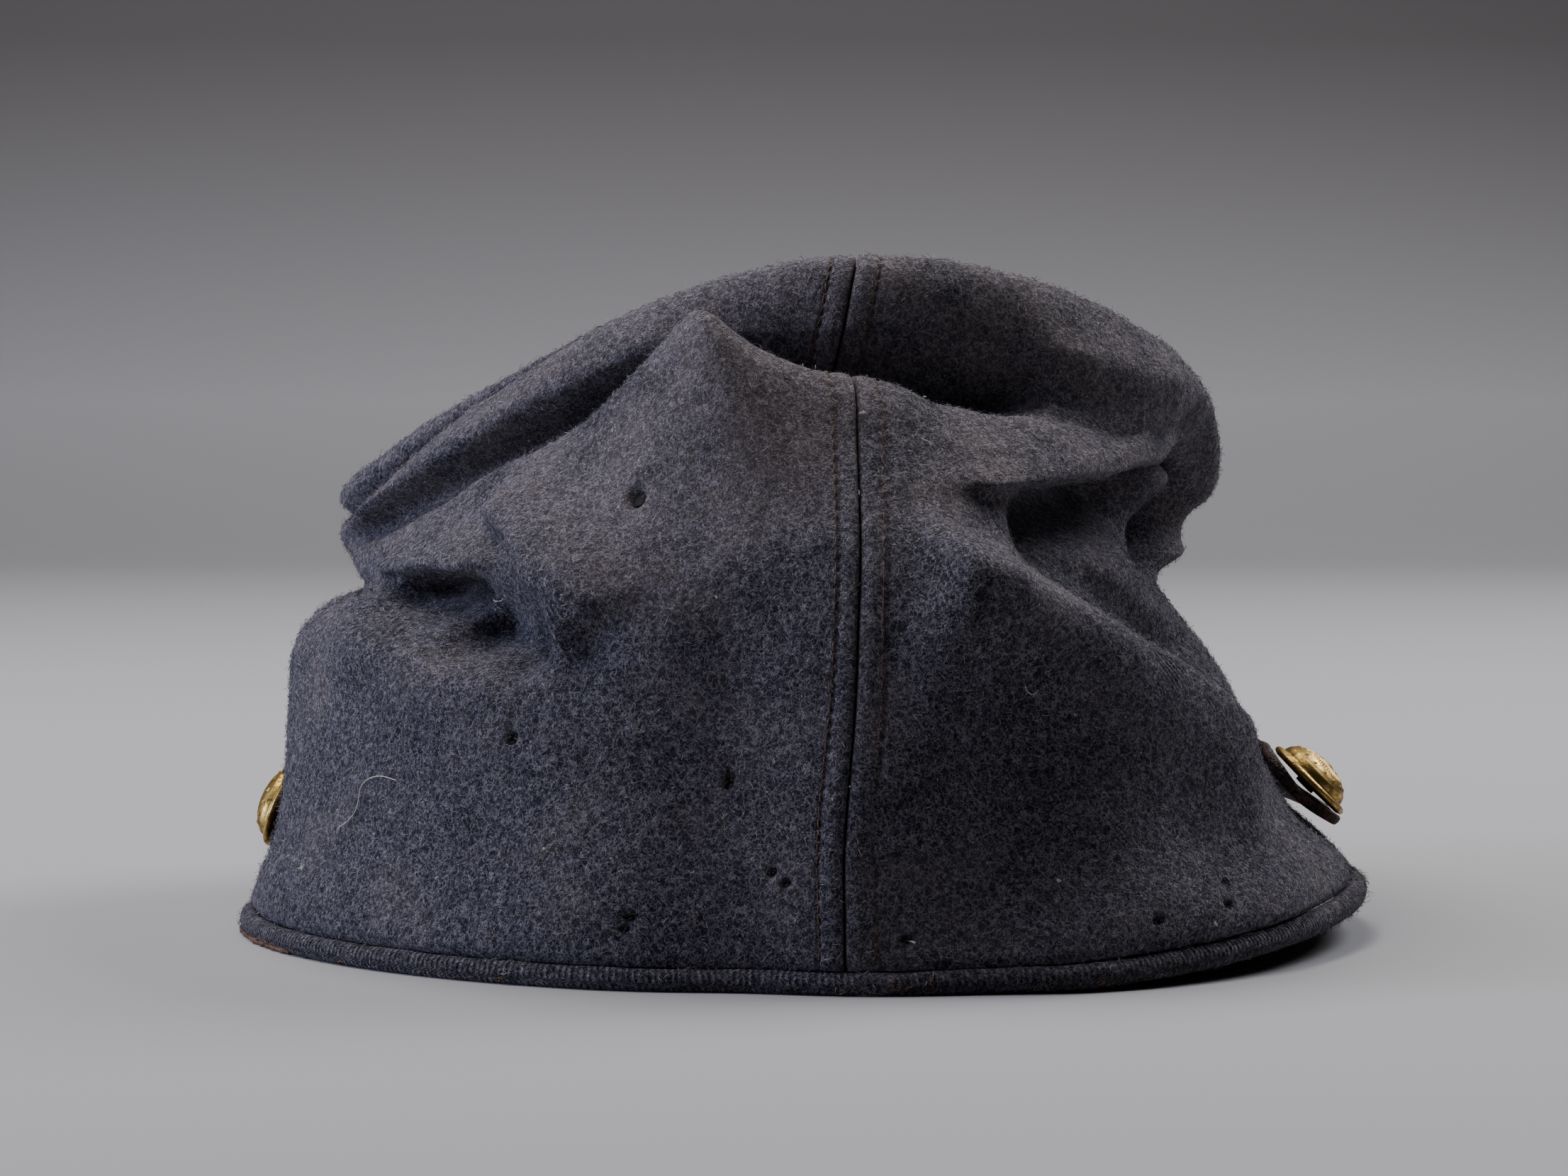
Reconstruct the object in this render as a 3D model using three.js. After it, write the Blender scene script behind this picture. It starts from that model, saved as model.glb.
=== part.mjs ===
// Soft wool forage cap: two body halves, round crown top, cord-filled hem welt, leather peak,
// chin strap with slide, two side buttons and a sweatband.
// Millimetres, +Z up. The back of the cap faces +Y, the peak -Y, the wearer's left +X.
import * as THREE from 'three';

// Driving dimensions
const wall = 2.0;
const gap = 0.35;
const millimetresPerDegree = 1.45;
const seamTurn = 0.15;
const bodySteps = { turn: 30, rise: 24 };

const crownRoll = { left: 8, right: 0.5, back: 0.5, front: 4 };
const crownRollWidth = 4.5;
const crownBulge = 0.8;
const crownBulgeWidth = 1.5;
const crownLeftBulge = 1.6;
const crownPull = 18;
const crownHollow = 6;
const crownSteps = { turn: 60, inward: 6 };

const weltRadius = 1.75;
const weltSteps = 72;
const ground = 0.2;

const peakHalfTurn = 50;
const peakReach = 44;
const peakThickness = 2.0;
const peakTip = 5;
const peakTuck = 2;
const peakPress = 0.25;

const strapWidth = 17;
const strapThickness = 1.8;
const strapEnd = { left: 101, right: -88 };
const strapRise = 18;
const strapOffCloth = { endTop: 0.6, endBottom: 2.2, front: 3.6, easeTurn: 26 };
const slideTurn = 152;
const slideBar = 3;
const slideThickness = 1.0;

const buttonRadius = 7.75;
const buttonInset = 5.5;
const buttonOffStrap = 0.65;
const buttonSides = 20;

const bandHeight = 30;
const bandThickness = 1.2;
const bandInset = 1.0;
const bandSteps = { turn: 60, rise: 4 };

// The middle of the overall box, brought to the origin
const boxMiddle = { x: 0.235, y: -19.09, z: 0.2 };

const table = (columns, lines) => lines.map((line) =>
  Object.fromEntries(columns.map((name, i) => [name, line[i]])));

// One line per level up the cloth: how far it reaches each way, and how high it lies on each side.
// seam is how far the back seam has wandered sideways.
const sections = table(
  ['rise', 'left', 'right', 'back', 'front', 'middle', 'zBack', 'zLeft', 'zRight', 'zFront', 'seam'],
  [
    [0, 92.5, 92.3, 90, 86, 2, 3.9, 4.2, 9.8, 15, -6.1],
    [8, 91, 89.4, 88.3, 86.6, 1, 10.9, 8.8, 14, 19, -6.1],
    [20, 88, 81.2, 85, 88, 0, 21.5, 17, 21.5, 26, -6.1],
    [42, 86.5, 70.5, 78, 92, -4, 42, 36, 43, 35, -7.8],
    [56, 85.5, 63.5, 74, 95, -9, 55.5, 47.5, 52.5, 41, -8.4],
    [66, 81.4, 59, 69, 98, -13, 65.4, 53.5, 58.5, 44.5, -8.8],
    [76, 75.3, 56, 61.5, 101, -18, 74.4, 56, 62.5, 48, -8.8],
    [84, 76, 56, 55, 104, -23, 81.2, 58, 67.5, 50.5, -8.7],
    [97, 77.5, 61, 43, 108, -30, 92, 60.5, 77, 54, -8.2],
    [108, 79.5, 70, 26, 110, -40, 91, 63, 80.5, 57, -5],
    [118, 80, 74, 27, 112, -42, 101, 65, 86, 61, -6.8],
    [130, 79.5, 69.5, 21, 114, -46, 111.5, 66.5, 91.8, 65, -8.8],
    [140, 78, 60.5, 8, 112, -50, 110.5, 68, 96.8, 68, -9],
  ],
);

// One line per fold, a ridge or valley along a path on the cloth. above, below and fade are how
// far it fades up and down the cloth and past its ends, out, up and slide how it moves the cloth.
const folds = table(
  ['turnA', 'riseA', 'turnB', 'riseB', 'bow', 'above', 'below', 'fade', 'out', 'up', 'slide'],
  [
    [18, 104, 17, 97, 0, 5, 5, 6, 1, 4, 0],
    [19, 98, 17, 92, 0, 15, 15, 14, 2, 10, 0],
    [24, 108, 66, 105, 0, 6, 7, 12, -3.5, 0, 0],
    [24, 120, 68, 117, 0, 8, 7, 10, 2.5, 0, 0],
    [60, 69, 49, 66.5, 0, 3.5, 6, 4, -13, -0.5, 0],
    [54, 61, 45, 57, 0, 7, 5, 5, -4, 0, 0],
    [45, 58, 36, 54.5, 0, 8, 5, 4, -10, -1, 0],
    [60, 56, 40, 46, 0, 4, 9, 8, 1.5, 0.5, 0],
    [43, 84, 32, 57, 0, 10, 2.7, 5, 5.5, 1, 0],
    [64, 80, 48, 74, 1.5, 8, 4.5, 5, 4.5, -0.5, 0],
    [31, 56, 28, 54, 0, 4, 5, 4, -3, 0, 0],
    [-24, 84, -60, 96, 0, 9, 4, 10, 6, -2, 0],
    [-14, 100, -44, 104, 0, 10, 12, 9, 0, -3.5, 0],
    [-30, 108, -50, 109, 0, 10, 7, 9, 6.5, 2, 0],
    [-36, 78.5, -70, 92.5, 0, 4, 10, 8, -12, 0, 0],
    [-12, 69, -22, 62, 0, 4, 6, 5, 1.2, 0.5, 0],
    [-17, 63, -60, 36, 4, 6, 18, 8, 7, 1, 0],
    [-34, 68, -68, 48, 2, 7, 7, 10, -6, 0, 0],
    [-108, 112, -86, 109, 0, 17, 5, 12, 0, -12, 0],
    [-108, 107, -84, 105, 0, 4, 4, 9, -3.5, -1, 0],
    [-98, 90, -97, 76, 0, 9, 7, 9, 11, 0, 0],
    [-72, 93, -95, 90, 0, 4, 5, 5, 4.5, 0.5, 0],
    [-87, 87, -86, 75, 0, 3.5, 5.5, 5, -11, 0, 0],
    [82, 140, 112, 140, 0, 16, 30, 12, 2, -1.5, 0],
    [10, 4, 12, 50, 0, 12, 12, 14, -3, 0, 0],
    [-18, 16, -24, 40, 0, 14, 14, 16, -3, 0, 0],
    [-24, 2, -50, 5, 0, 11, 8, 12, 3.5, 0, 0],
  ],
);

const topRise = sections[sections.length - 1].rise;

// Smooth curve through one column of the sections
function column(name, rise) {
  const last = sections.length - 2;
  let i = sections.findIndex((s) => s.rise > rise) - 1;
  if (i < -1 || rise >= topRise) i = last;
  i = Math.min(Math.max(i, 0), last);
  const a = sections[i];
  const b = sections[i + 1];
  const before = sections[Math.max(i - 1, 0)];
  const after = sections[Math.min(i + 2, last + 1)];
  const span = b.rise - a.rise;
  const t = (rise - a.rise) / span;
  const slopeA = (b[name] - before[name]) / (b.rise - before.rise) * span;
  const slopeB = (after[name] - a[name]) / (after.rise - a.rise) * span;
  const t2 = t * t;
  const t3 = t2 * t;
  return (2 * t3 - 3 * t2 + 1) * a[name] + (t3 - 2 * t2 + t) * slopeA
    + (3 * t2 - 2 * t3) * b[name] + (t3 - t2) * slopeB;
}

// How strongly a fold acts at one place on the cloth, 0 to 1
function foldStrength(fold, turn, rise) {
  const dx = (fold.turnB - fold.turnA) * millimetresPerDegree;
  const dy = fold.riseB - fold.riseA;
  const length = Math.hypot(dx, dy);
  const px = (turn - fold.turnA) * millimetresPerDegree;
  const py = rise - fold.riseA;
  const along = (px * dx + py * dy) / length ** 2;
  const clamped = Math.min(Math.max(along, 0), 1);
  let away = (-px * dy + py * dx) / length * (dx < 0 ? -1 : 1);
  away -= fold.bow * (1 - (2 * clamped - 1) ** 2);
  const past = Math.max(0, -along, along - 1) * length;
  const width = away > 0 ? fold.above : fold.below;
  return Math.exp(-((away / width) ** 2) - (past / fold.fade) ** 2);
}

// A point on the outside of the cloth: turn in degrees from the back seam towards the wearer's
// left, rise in millimetres of cloth up from the hem
function capPoint(turn, rise) {
  const s = Math.sin(THREE.MathUtils.degToRad(turn));
  const c = Math.cos(THREE.MathUtils.degToRad(turn));
  const side = s > 0 ? ['left', 'zLeft'] : ['right', 'zRight'];
  const end = c > 0 ? ['back', 'zBack'] : ['front', 'zFront'];
  const middle = column('middle', rise);
  const reach = c > 0 ? column('back', rise) - middle : column('front', rise) + middle;
  const point = new THREE.Vector3(
    column(side[0], rise) * s + column('seam', rise) * Math.max(0, c) ** 2,
    middle + reach * c,
    column(end[1], rise) * c * c + column(side[1], rise) * s * s,
  );
  for (const fold of folds) {
    const strength = foldStrength(fold, turn, rise);
    point.x += strength * (fold.out * s + fold.slide * c);
    point.y += strength * (fold.out * c - fold.slide * s);
    point.z += strength * fold.up;
  }
  return point;
}

// Which way the cloth faces, taken over a span of cloth so that tight folds stay even
function outward(turn, rise, turnSpan = 3, riseSpan = 4) {
  const across = capPoint(turn + turnSpan, rise).sub(capPoint(turn - turnSpan, rise));
  const low = Math.max(rise - riseSpan, 0);
  const high = Math.min(rise + riseSpan, topRise);
  const up = capPoint(turn, high).sub(capPoint(turn, low));
  return up.cross(across).normalize();
}

// A point moved off the outside of the cloth by a distance, minus is inwards
const offCloth = (turn, rise, distance) =>
  capPoint(turn, rise).addScaledVector(outward(turn, rise), distance);

// A closed solid from triangles over numbered points, turned outwards if it came out inside out
function solid(points, triangles) {
  let volume = 0;
  for (const [a, b, c] of triangles) {
    volume += points[a].dot(points[b].clone().cross(points[c]));
  }
  const index = volume < 0 ? triangles.map(([a, b, c]) => [a, c, b]) : triangles;
  const geometry = new THREE.BufferGeometry();
  geometry.setAttribute('position', new THREE.BufferAttribute(
    new Float32Array(points.flatMap((p) => [p.x, p.y, p.z])), 3));
  geometry.setIndex(index.flat());
  geometry.translate(-boxMiddle.x, -boxMiddle.y, -boxMiddle.z);
  geometry.computeVertexNormals();
  return geometry;
}

// Two triangles over four corners
const quad = (a, b, c, d) => [[a, b, c], [a, c, d]];

// A sheet of some thickness from two faces given over across 0..1 and along 0..1
function sheet(acrossSteps, alongSteps, outer, inner, wraps = false) {
  const columns = wraps ? acrossSteps : acrossSteps + 1;
  const rows = alongSteps + 1;
  const points = [];
  for (const face of [outer, inner]) {
    for (let i = 0; i < columns; i += 1) {
      for (let j = 0; j < rows; j += 1) {
        points.push(face(i / acrossSteps, j / alongSteps));
      }
    }
  }
  const at = (face, i, j) => face * columns * rows + (i % columns) * rows + j;
  const triangles = [];
  for (let i = 0; i < acrossSteps; i += 1) {
    for (let j = 0; j < alongSteps; j += 1) {
      // split along the shorter diagonal, the same way on both faces
      const corners = [[i, j], [i + 1, j], [i + 1, j + 1], [i, j + 1]];
      const [a, b, c, d] = corners.map(([k, l]) => points[at(0, k, l)]);
      if (b.distanceTo(d) < a.distanceTo(c)) {
        corners.push(corners.shift());
      }
      triangles.push(...quad(...corners.map(([k, l]) => at(0, k, l))));
      corners.push(corners.shift(), corners.shift());
      triangles.push(...quad(...corners.reverse().map(([k, l]) => at(1, k, l))));
    }
    triangles.push(...quad(at(0, i, 0), at(1, i, 0), at(1, i + 1, 0), at(0, i + 1, 0)));
    triangles.push(...quad(at(0, i, alongSteps), at(0, i + 1, alongSteps),
      at(1, i + 1, alongSteps), at(1, i, alongSteps)));
  }
  if (!wraps) {
    for (let j = 0; j < alongSteps; j += 1) {
      triangles.push(...quad(at(0, 0, j), at(0, 0, j + 1), at(1, 0, j + 1), at(1, 0, j)));
      triangles.push(...quad(at(0, acrossSteps, j), at(1, acrossSteps, j),
        at(1, acrossSteps, j + 1), at(0, acrossSteps, j + 1)));
    }
  }
  return solid(points, triangles);
}

// A cord closed on itself, from the ring of points round it at each step
function loop(steps, ringAt) {
  const rings = Array.from({ length: steps }, (_, i) => ringAt(i / steps));
  const sides = rings[0].length;
  const triangles = [];
  for (let i = 0; i < steps; i += 1) {
    for (let j = 0; j < sides; j += 1) {
      const next = ((i + 1) % steps) * sides;
      const side = (j + 1) % sides;
      triangles.push(...quad(i * sides + j, next + j, next + side, i * sides + side));
    }
  }
  return solid(rings.flat(), triangles);
}

// A round solid about its own +Z from a closed outline of radius and height
function turned(outline, sides, place) {
  const points = [];
  const starts = outline.map(([radius, height]) => {
    const first = points.length;
    const count = radius === 0 ? 1 : sides;
    for (let i = 0; i < count; i += 1) {
      const angle = 2 * Math.PI * i / sides;
      points.push(new THREE.Vector3(radius * Math.cos(angle), radius * Math.sin(angle), height));
    }
    return { first, count };
  });
  const triangles = [];
  for (let k = 0; k < outline.length - 1; k += 1) {
    const a = starts[k];
    const b = starts[k + 1];
    for (let i = 0; i < sides; i += 1) {
      const j = (i + 1) % sides;
      if (a.count === 1) {
        triangles.push([a.first, b.first + i, b.first + j]);
      } else if (b.count === 1) {
        triangles.push([a.first + i, b.first, a.first + j]);
      } else {
        triangles.push(...quad(a.first + i, b.first + i, b.first + j, a.first + j));
      }
    }
  }
  points.forEach((point) => point.applyMatrix4(place));
  return solid(points, triangles);
}

// Body halves, from the back seam round to the front seam
// Columns stand closer towards the back, where the folds are
const crowd = (share) => 0.6 * share + 0.4 * share ** 2;
const allRound = (u) => 180 * Math.sign(2 * u - 1) * crowd(Math.abs(2 * u - 1));

function bodyHalf(from, to) {
  const turnAt = (u) => from + (to - from) * crowd(u);
  return sheet(bodySteps.turn, bodySteps.rise,
    (u, v) => capPoint(turnAt(u), topRise * v),
    (u, v) => offCloth(turnAt(u), topRise * v, -wall));
}

// Crown top: rolls up and over its own seam, most on the left, and sags in the middle
const crownMiddle = new THREE.Vector3();
for (let turn = 0; turn < 360; turn += 10) {
  crownMiddle.addScaledVector(capPoint(turn > 180 ? turn - 360 : turn, topRise), 1 / 36);
}

function crownPoint(turn, t) {
  const s = Math.sin(THREE.MathUtils.degToRad(turn));
  const c = Math.cos(THREE.MathUtils.degToRad(turn));
  const roll = (s > 0 ? crownRoll.left : crownRoll.right) * s * s
    + (c > 0 ? crownRoll.back : crownRoll.front) * c * c;
  const edge = capPoint(turn, topRise);
  const run = edge.clone().sub(capPoint(turn, topRise - 3)).normalize();
  edge.addScaledVector(run, gap);
  run.multiplyScalar(3 * Math.max(c, 0) ** 2).add(new THREE.Vector3(0, 0, 0.6)).normalize();
  const reach = crownMiddle.clone().sub(edge);
  const inward = t * reach.length();
  const point = edge.clone().multiplyScalar(2 * t ** 3 - 3 * t ** 2 + 1);
  point.addScaledVector(crownMiddle, 3 * t ** 2 - 2 * t ** 3);
  point.addScaledVector(run, crownPull * (t ** 3 - 2 * t ** 2 + t));
  point.addScaledVector(reach, (t ** 3 - t ** 2) * 0.6);
  const risen = (1 - Math.exp(-inward / crownRollWidth)) * Math.cos(Math.PI / 2 * t) ** 2;
  point.z += roll * risen - crownHollow * Math.sin(Math.PI / 2 * t) ** 2;
  const bulge = crownBulge + crownLeftBulge * Math.max(s, 0) ** 4;
  const width = crownBulgeWidth + 0.6 * Math.max(s, 0) ** 4;
  const outside = bulge * inward / width * Math.exp(1 - inward / width) * (1 - Math.max(c, 0));
  return point.addScaledVector(reach.setZ(0).normalize(), -outside);
}

function crownTop() {
  const { turn: turns, inward: steps } = crownSteps;
  const points = [];
  for (const depth of [0, wall]) {
    for (let i = 0; i < turns; i += 1) {
      for (let j = 0; j < steps; j += 1) {
        const turn = allRound(i / turns);
        const t = (j / steps) ** 1.4;
        const ahead = crownPoint(turn, t + 0.02).sub(crownPoint(turn, Math.max(t - 0.01, 0)));
        const across = crownPoint(turn + 2, t).sub(crownPoint(turn - 2, t));
        const face = j === 0 ? outward(turn, topRise) : ahead.cross(across).normalize();
        points.push(crownPoint(turn, t).addScaledVector(face, -depth));
      }
    }
  }
  const centre = points.length;
  points.push(crownPoint(0, 1), crownPoint(0, 1).setZ(crownPoint(0, 1).z - wall));
  const at = (face, i, j) => face * turns * steps + (i % turns) * steps + j;
  const triangles = [];
  for (let i = 0; i < turns; i += 1) {
    for (let j = 0; j < steps - 1; j += 1) {
      triangles.push(...quad(at(0, i, j), at(0, i + 1, j), at(0, i + 1, j + 1), at(0, i, j + 1)));
      triangles.push(...quad(at(1, i, j), at(1, i, j + 1), at(1, i + 1, j + 1), at(1, i + 1, j)));
    }
    triangles.push([at(0, i, steps - 1), at(0, i + 1, steps - 1), centre]);
    triangles.push([at(1, i + 1, steps - 1), at(1, i, steps - 1), centre + 1]);
    triangles.push(...quad(at(0, i, 0), at(1, i, 0), at(1, i + 1, 0), at(0, i + 1, 0)));
  }
  return solid(points, triangles);
}

// Hem welt: a round cord under the cut edge of the body, pressed flat where it stands
function weltMiddle(turn) {
  const down = capPoint(turn, 0).sub(capPoint(turn, 3)).normalize();
  return offCloth(turn, 0, -wall / 2).addScaledVector(down, weltRadius + gap);
}

function hemWelt() {
  return loop(weltSteps, (u) => {
    const turn = 360 * u - 180;
    const middle = weltMiddle(turn);
    const out = outward(turn, 0).setZ(0).normalize();
    const ring = [];
    for (let k = 0; k < 8; k += 1) {
      const angle = Math.PI / 8 + Math.PI / 4 * k;
      const point = middle.clone().addScaledVector(out, weltRadius * Math.cos(angle));
      point.z = Math.max(point.z + weltRadius * Math.sin(angle), ground);
      ring.push(point);
    }
    return ring;
  });
}

// Peak: a crescent of leather under the front of the welt, its front edge on the ground
function peakPoint(across, along) {
  const turn = 180 + peakHalfTurn * across;
  const root = weltMiddle(turn > 180 ? turn - 360 : turn);
  const reach = peakTip + (peakReach - peakTip) * (1 - across ** 2) ** 0.8;
  const top = root.z - weltRadius - gap;
  const drop = (top - peakThickness - ground + peakPress) * (1 - across ** 2) ** 0.5;
  const direction = new THREE.Vector3(-0.45 * Math.sin(Math.PI / 2 * across), -1, 0).normalize();
  const point = root.addScaledVector(direction, (reach + peakTuck) * along - peakTuck);
  point.z = top - drop * Math.max(along - 0.1, 0) ** 1.2 / 0.9 ** 1.2;
  return point;
}

function peak() {
  const lower = (u, v) => {
    const point = peakPoint(2 * u - 1, v);
    point.z = Math.max(point.z - peakThickness, ground);
    return point;
  };
  return sheet(20, 6, (u, v) => peakPoint(2 * u - 1, v), lower);
}

// Chin strap: lies round the front from one button to the other, a little off the cloth, with
// its ends lifting at the lower edge
function strapPoint(turn, up, depth) {
  const rise = strapRise + strapWidth * (up - 0.5);
  const round = turn > 180 ? turn - 360 : turn;
  const fromEnd = round > 0 ? round - strapEnd.left : strapEnd.right - round;
  const ease = THREE.MathUtils.smoothstep(fromEnd, 0, strapOffCloth.easeTurn);
  const end = THREE.MathUtils.lerp(strapOffCloth.endBottom, strapOffCloth.endTop, up);
  const off = THREE.MathUtils.lerp(end, strapOffCloth.front, ease);
  return offCloth(round, rise, off + depth);
}

// Along, up and out of the strap at one place
function strapFrame(turn) {
  const along = strapPoint(turn + 2, 0.5, 0).sub(strapPoint(turn - 2, 0.5, 0)).normalize();
  const up = strapPoint(turn, 1, 0).sub(strapPoint(turn, 0, 0)).normalize();
  const out = up.clone().cross(along).normalize();
  return { along, up, out };
}

function chinStrap() {
  const turnAt = (u) => strapEnd.left + (360 + strapEnd.right - strapEnd.left) * u;
  return sheet(40, 2,
    (u, v) => strapPoint(turnAt(u), v, strapThickness),
    (u, v) => strapPoint(turnAt(u), v, 0));
}

// Slide: a flat brass frame the strap passes through
function strapSlide() {
  const { along, up, out } = strapFrame(slideTurn);
  const place = (x, y, depth) => strapPoint(slideTurn, 0.5, 0)
    .addScaledVector(along, x).addScaledVector(up, y).addScaledVector(out, depth);
  const outerHalf = strapWidth / 2 + 0.6 + slideBar * 0.5;
  const near = -0.5 - slideThickness;
  const far = strapThickness + 0.5 + slideThickness;
  const ring = (x) => [
    place(x, -outerHalf, near), place(x, outerHalf, near),
    place(x, outerHalf, far), place(x, -outerHalf, far),
  ];
  const bore = (x) => [
    place(x, -strapWidth / 2 - 0.6, -0.5), place(x, strapWidth / 2 + 0.6, -0.5),
    place(x, strapWidth / 2 + 0.6, strapThickness + 0.5),
    place(x, -strapWidth / 2 - 0.6, strapThickness + 0.5),
  ];
  const points = [ring(-slideBar), ring(slideBar), bore(slideBar), bore(-slideBar)].flat();
  const triangles = [];
  for (let k = 0; k < 4; k += 1) {
    for (let j = 0; j < 4; j += 1) {
      const next = ((k + 1) % 4) * 4;
      const side = (j + 1) % 4;
      triangles.push(...quad(k * 4 + j, next + j, next + side, k * 4 + side));
    }
  }
  return solid(points, triangles);
}

// Buttons: domed, with a rolled rim and a short shank, on the ends of the strap
function button(turn) {
  const { out } = strapFrame(turn);
  const seat = strapPoint(turn, 0.5, 0).addScaledVector(out, strapThickness + buttonOffStrap);
  const place = new THREE.Matrix4().makeTranslation(seat).multiply(
    new THREE.Matrix4().makeRotationFromQuaternion(
      new THREE.Quaternion().setFromUnitVectors(new THREE.Vector3(0, 0, 1), out)));
  const outline = [
    [0, 0], [1.8, 0], [1.8, 0.5], [6.9, 0.7], [buttonRadius, 1.2], [buttonRadius, 1.7],
    [7.1, 2.1], [6.5, 2.1], [6.1, 3.5], [4.6, 4.7], [2.4, 5.3], [0, 5.6],
  ];
  return turned(outline, buttonSides, place);
}

// Sweatband: thin leather inside the hem
function sweatband() {
  const rise = (v) => 1 + (bandHeight - 1) * v;
  return sheet(bandSteps.turn, bandSteps.rise,
    (u, v) => offCloth(allRound(u), rise(v), -wall - bandInset),
    (u, v) => offCloth(allRound(u), rise(v), -wall - bandInset - bandThickness), true);
}

const wool = { color: 0x39404f, roughness: 0.95, metalness: 0 };
const leather = { color: 0x2c2019, roughness: 0.6, metalness: 0 };
const bandLeather = { color: 0x6b4429, roughness: 0.7, metalness: 0 };
const brass = { color: 0xb08a45, roughness: 0.35, metalness: 1 };

const cap = new THREE.Group();
cap.name = 'cap';
const pieces = [
  ['body_left', bodyHalf(seamTurn, 180 - seamTurn), wool],
  ['body_right', bodyHalf(-seamTurn, seamTurn - 180), wool],
  ['crown_top', crownTop(), wool],
  ['hem_welt', hemWelt(), wool],
  ['peak', peak(), leather],
  ['chin_strap', chinStrap(), leather],
  ['strap_slide', strapSlide(), brass],
  ['button_left', button(strapEnd.left + buttonInset), brass],
  ['button_right', button(strapEnd.right - buttonInset), brass],
  ['sweatband', sweatband(), bandLeather],
];
for (const [name, geometry, look] of pieces) {
  const mesh = new THREE.Mesh(geometry, new THREE.MeshStandardMaterial(look));
  mesh.name = name;
  cap.add(mesh);
}

export default cap;
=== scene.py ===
import math
from functools import partial
import bpy
import numpy as np
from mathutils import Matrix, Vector


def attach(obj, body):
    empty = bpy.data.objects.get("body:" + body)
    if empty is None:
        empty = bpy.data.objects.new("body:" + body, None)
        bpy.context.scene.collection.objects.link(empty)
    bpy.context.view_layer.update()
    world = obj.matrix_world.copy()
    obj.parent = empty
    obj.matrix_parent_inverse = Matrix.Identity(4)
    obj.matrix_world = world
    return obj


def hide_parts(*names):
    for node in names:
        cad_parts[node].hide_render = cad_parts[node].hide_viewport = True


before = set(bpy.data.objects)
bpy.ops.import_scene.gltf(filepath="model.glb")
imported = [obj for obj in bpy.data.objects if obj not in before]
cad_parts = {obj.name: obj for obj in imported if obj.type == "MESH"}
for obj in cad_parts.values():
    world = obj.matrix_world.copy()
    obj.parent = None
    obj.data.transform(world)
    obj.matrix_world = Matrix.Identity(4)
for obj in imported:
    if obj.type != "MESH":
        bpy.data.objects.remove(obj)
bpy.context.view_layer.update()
print("frame loaded:", len(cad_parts), "pieces")

# The cap is drawn in millimetres, back towards +Y, and brought to metres and to the middle of
# its box at the end.
boxMiddle = np.array([0.235, -19.09, 0.2])


def toFrame(points):
    return (np.asarray(points) - boxMiddle) / 1000


# Camera: stands behind the cap, a little above its middle
camera = {"side": 3.0, "back": 800.0, "height": 100.0, "pitchDown": 3.1, "lens": 109.24}


def addObject(name, data):
    holder = bpy.data.objects.new(name, data)
    bpy.context.scene.collection.objects.link(holder)
    return holder


def makeCamera():
    data = bpy.data.cameras.new("photoCamera")
    data.lens = camera["lens"]
    data.sensor_width = 36
    data.clip_start = 0.01
    data.clip_end = 20
    holder = addObject("photoCamera", data)
    holder.location = toFrame([camera["side"], camera["back"], camera["height"]])
    holder.rotation_euler = (math.radians(90 - camera["pitchDown"]), 0, math.radians(180))
    bpy.context.scene.camera = holder


makeCamera()
print("camera placed")

# The form of the cloth: one row for each level up it, the same as in the frame's model
sectionNames = ["rise", "left", "right", "back", "front", "middle", "zBack", "zLeft", "zRight",
    "zFront", "seam"]
sectionRows = [
    (0, 92.5, 92.3, 90, 86, 2, 3.9, 4.2, 9.8, 15, -6.1),
    (8, 91, 89.4, 88.3, 86.6, 1, 10.9, 8.8, 14, 19, -6.1),
    (20, 88, 81.2, 85, 88, 0, 21.5, 17, 21.5, 26, -6.1),
    (42, 86.5, 70.5, 78, 92, -4, 42, 36, 43, 35, -7.8),
    (56, 85.5, 63.5, 74, 95, -9, 55.5, 47.5, 52.5, 41, -8.4),
    (66, 81.4, 59, 69, 98, -13, 65.4, 53.5, 58.5, 44.5, -8.8),
    (76, 75.3, 56, 61.5, 101, -18, 74.4, 56, 62.5, 48, -8.8),
    (84, 76, 56, 55, 104, -23, 81.2, 58, 67.5, 50.5, -8.7),
    (97, 77.5, 61, 43, 108, -30, 92, 60.5, 77, 54, -8.2),
    (108, 79.5, 70, 26, 110, -40, 91, 63, 80.5, 57, -5),
    (118, 80, 74, 27, 112, -42, 101, 65, 86, 61, -6.8),
    (130, 79.5, 69.5, 21, 114, -46, 111.5, 66.5, 91.8, 65, -8.8),
    (140, 78, 60.5, 8, 112, -50, 110.5, 68, 96.8, 68, -9),
]
sections = {name: np.array([row[i] for row in sectionRows], float) for i,
    name in enumerate(sectionNames)}

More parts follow.
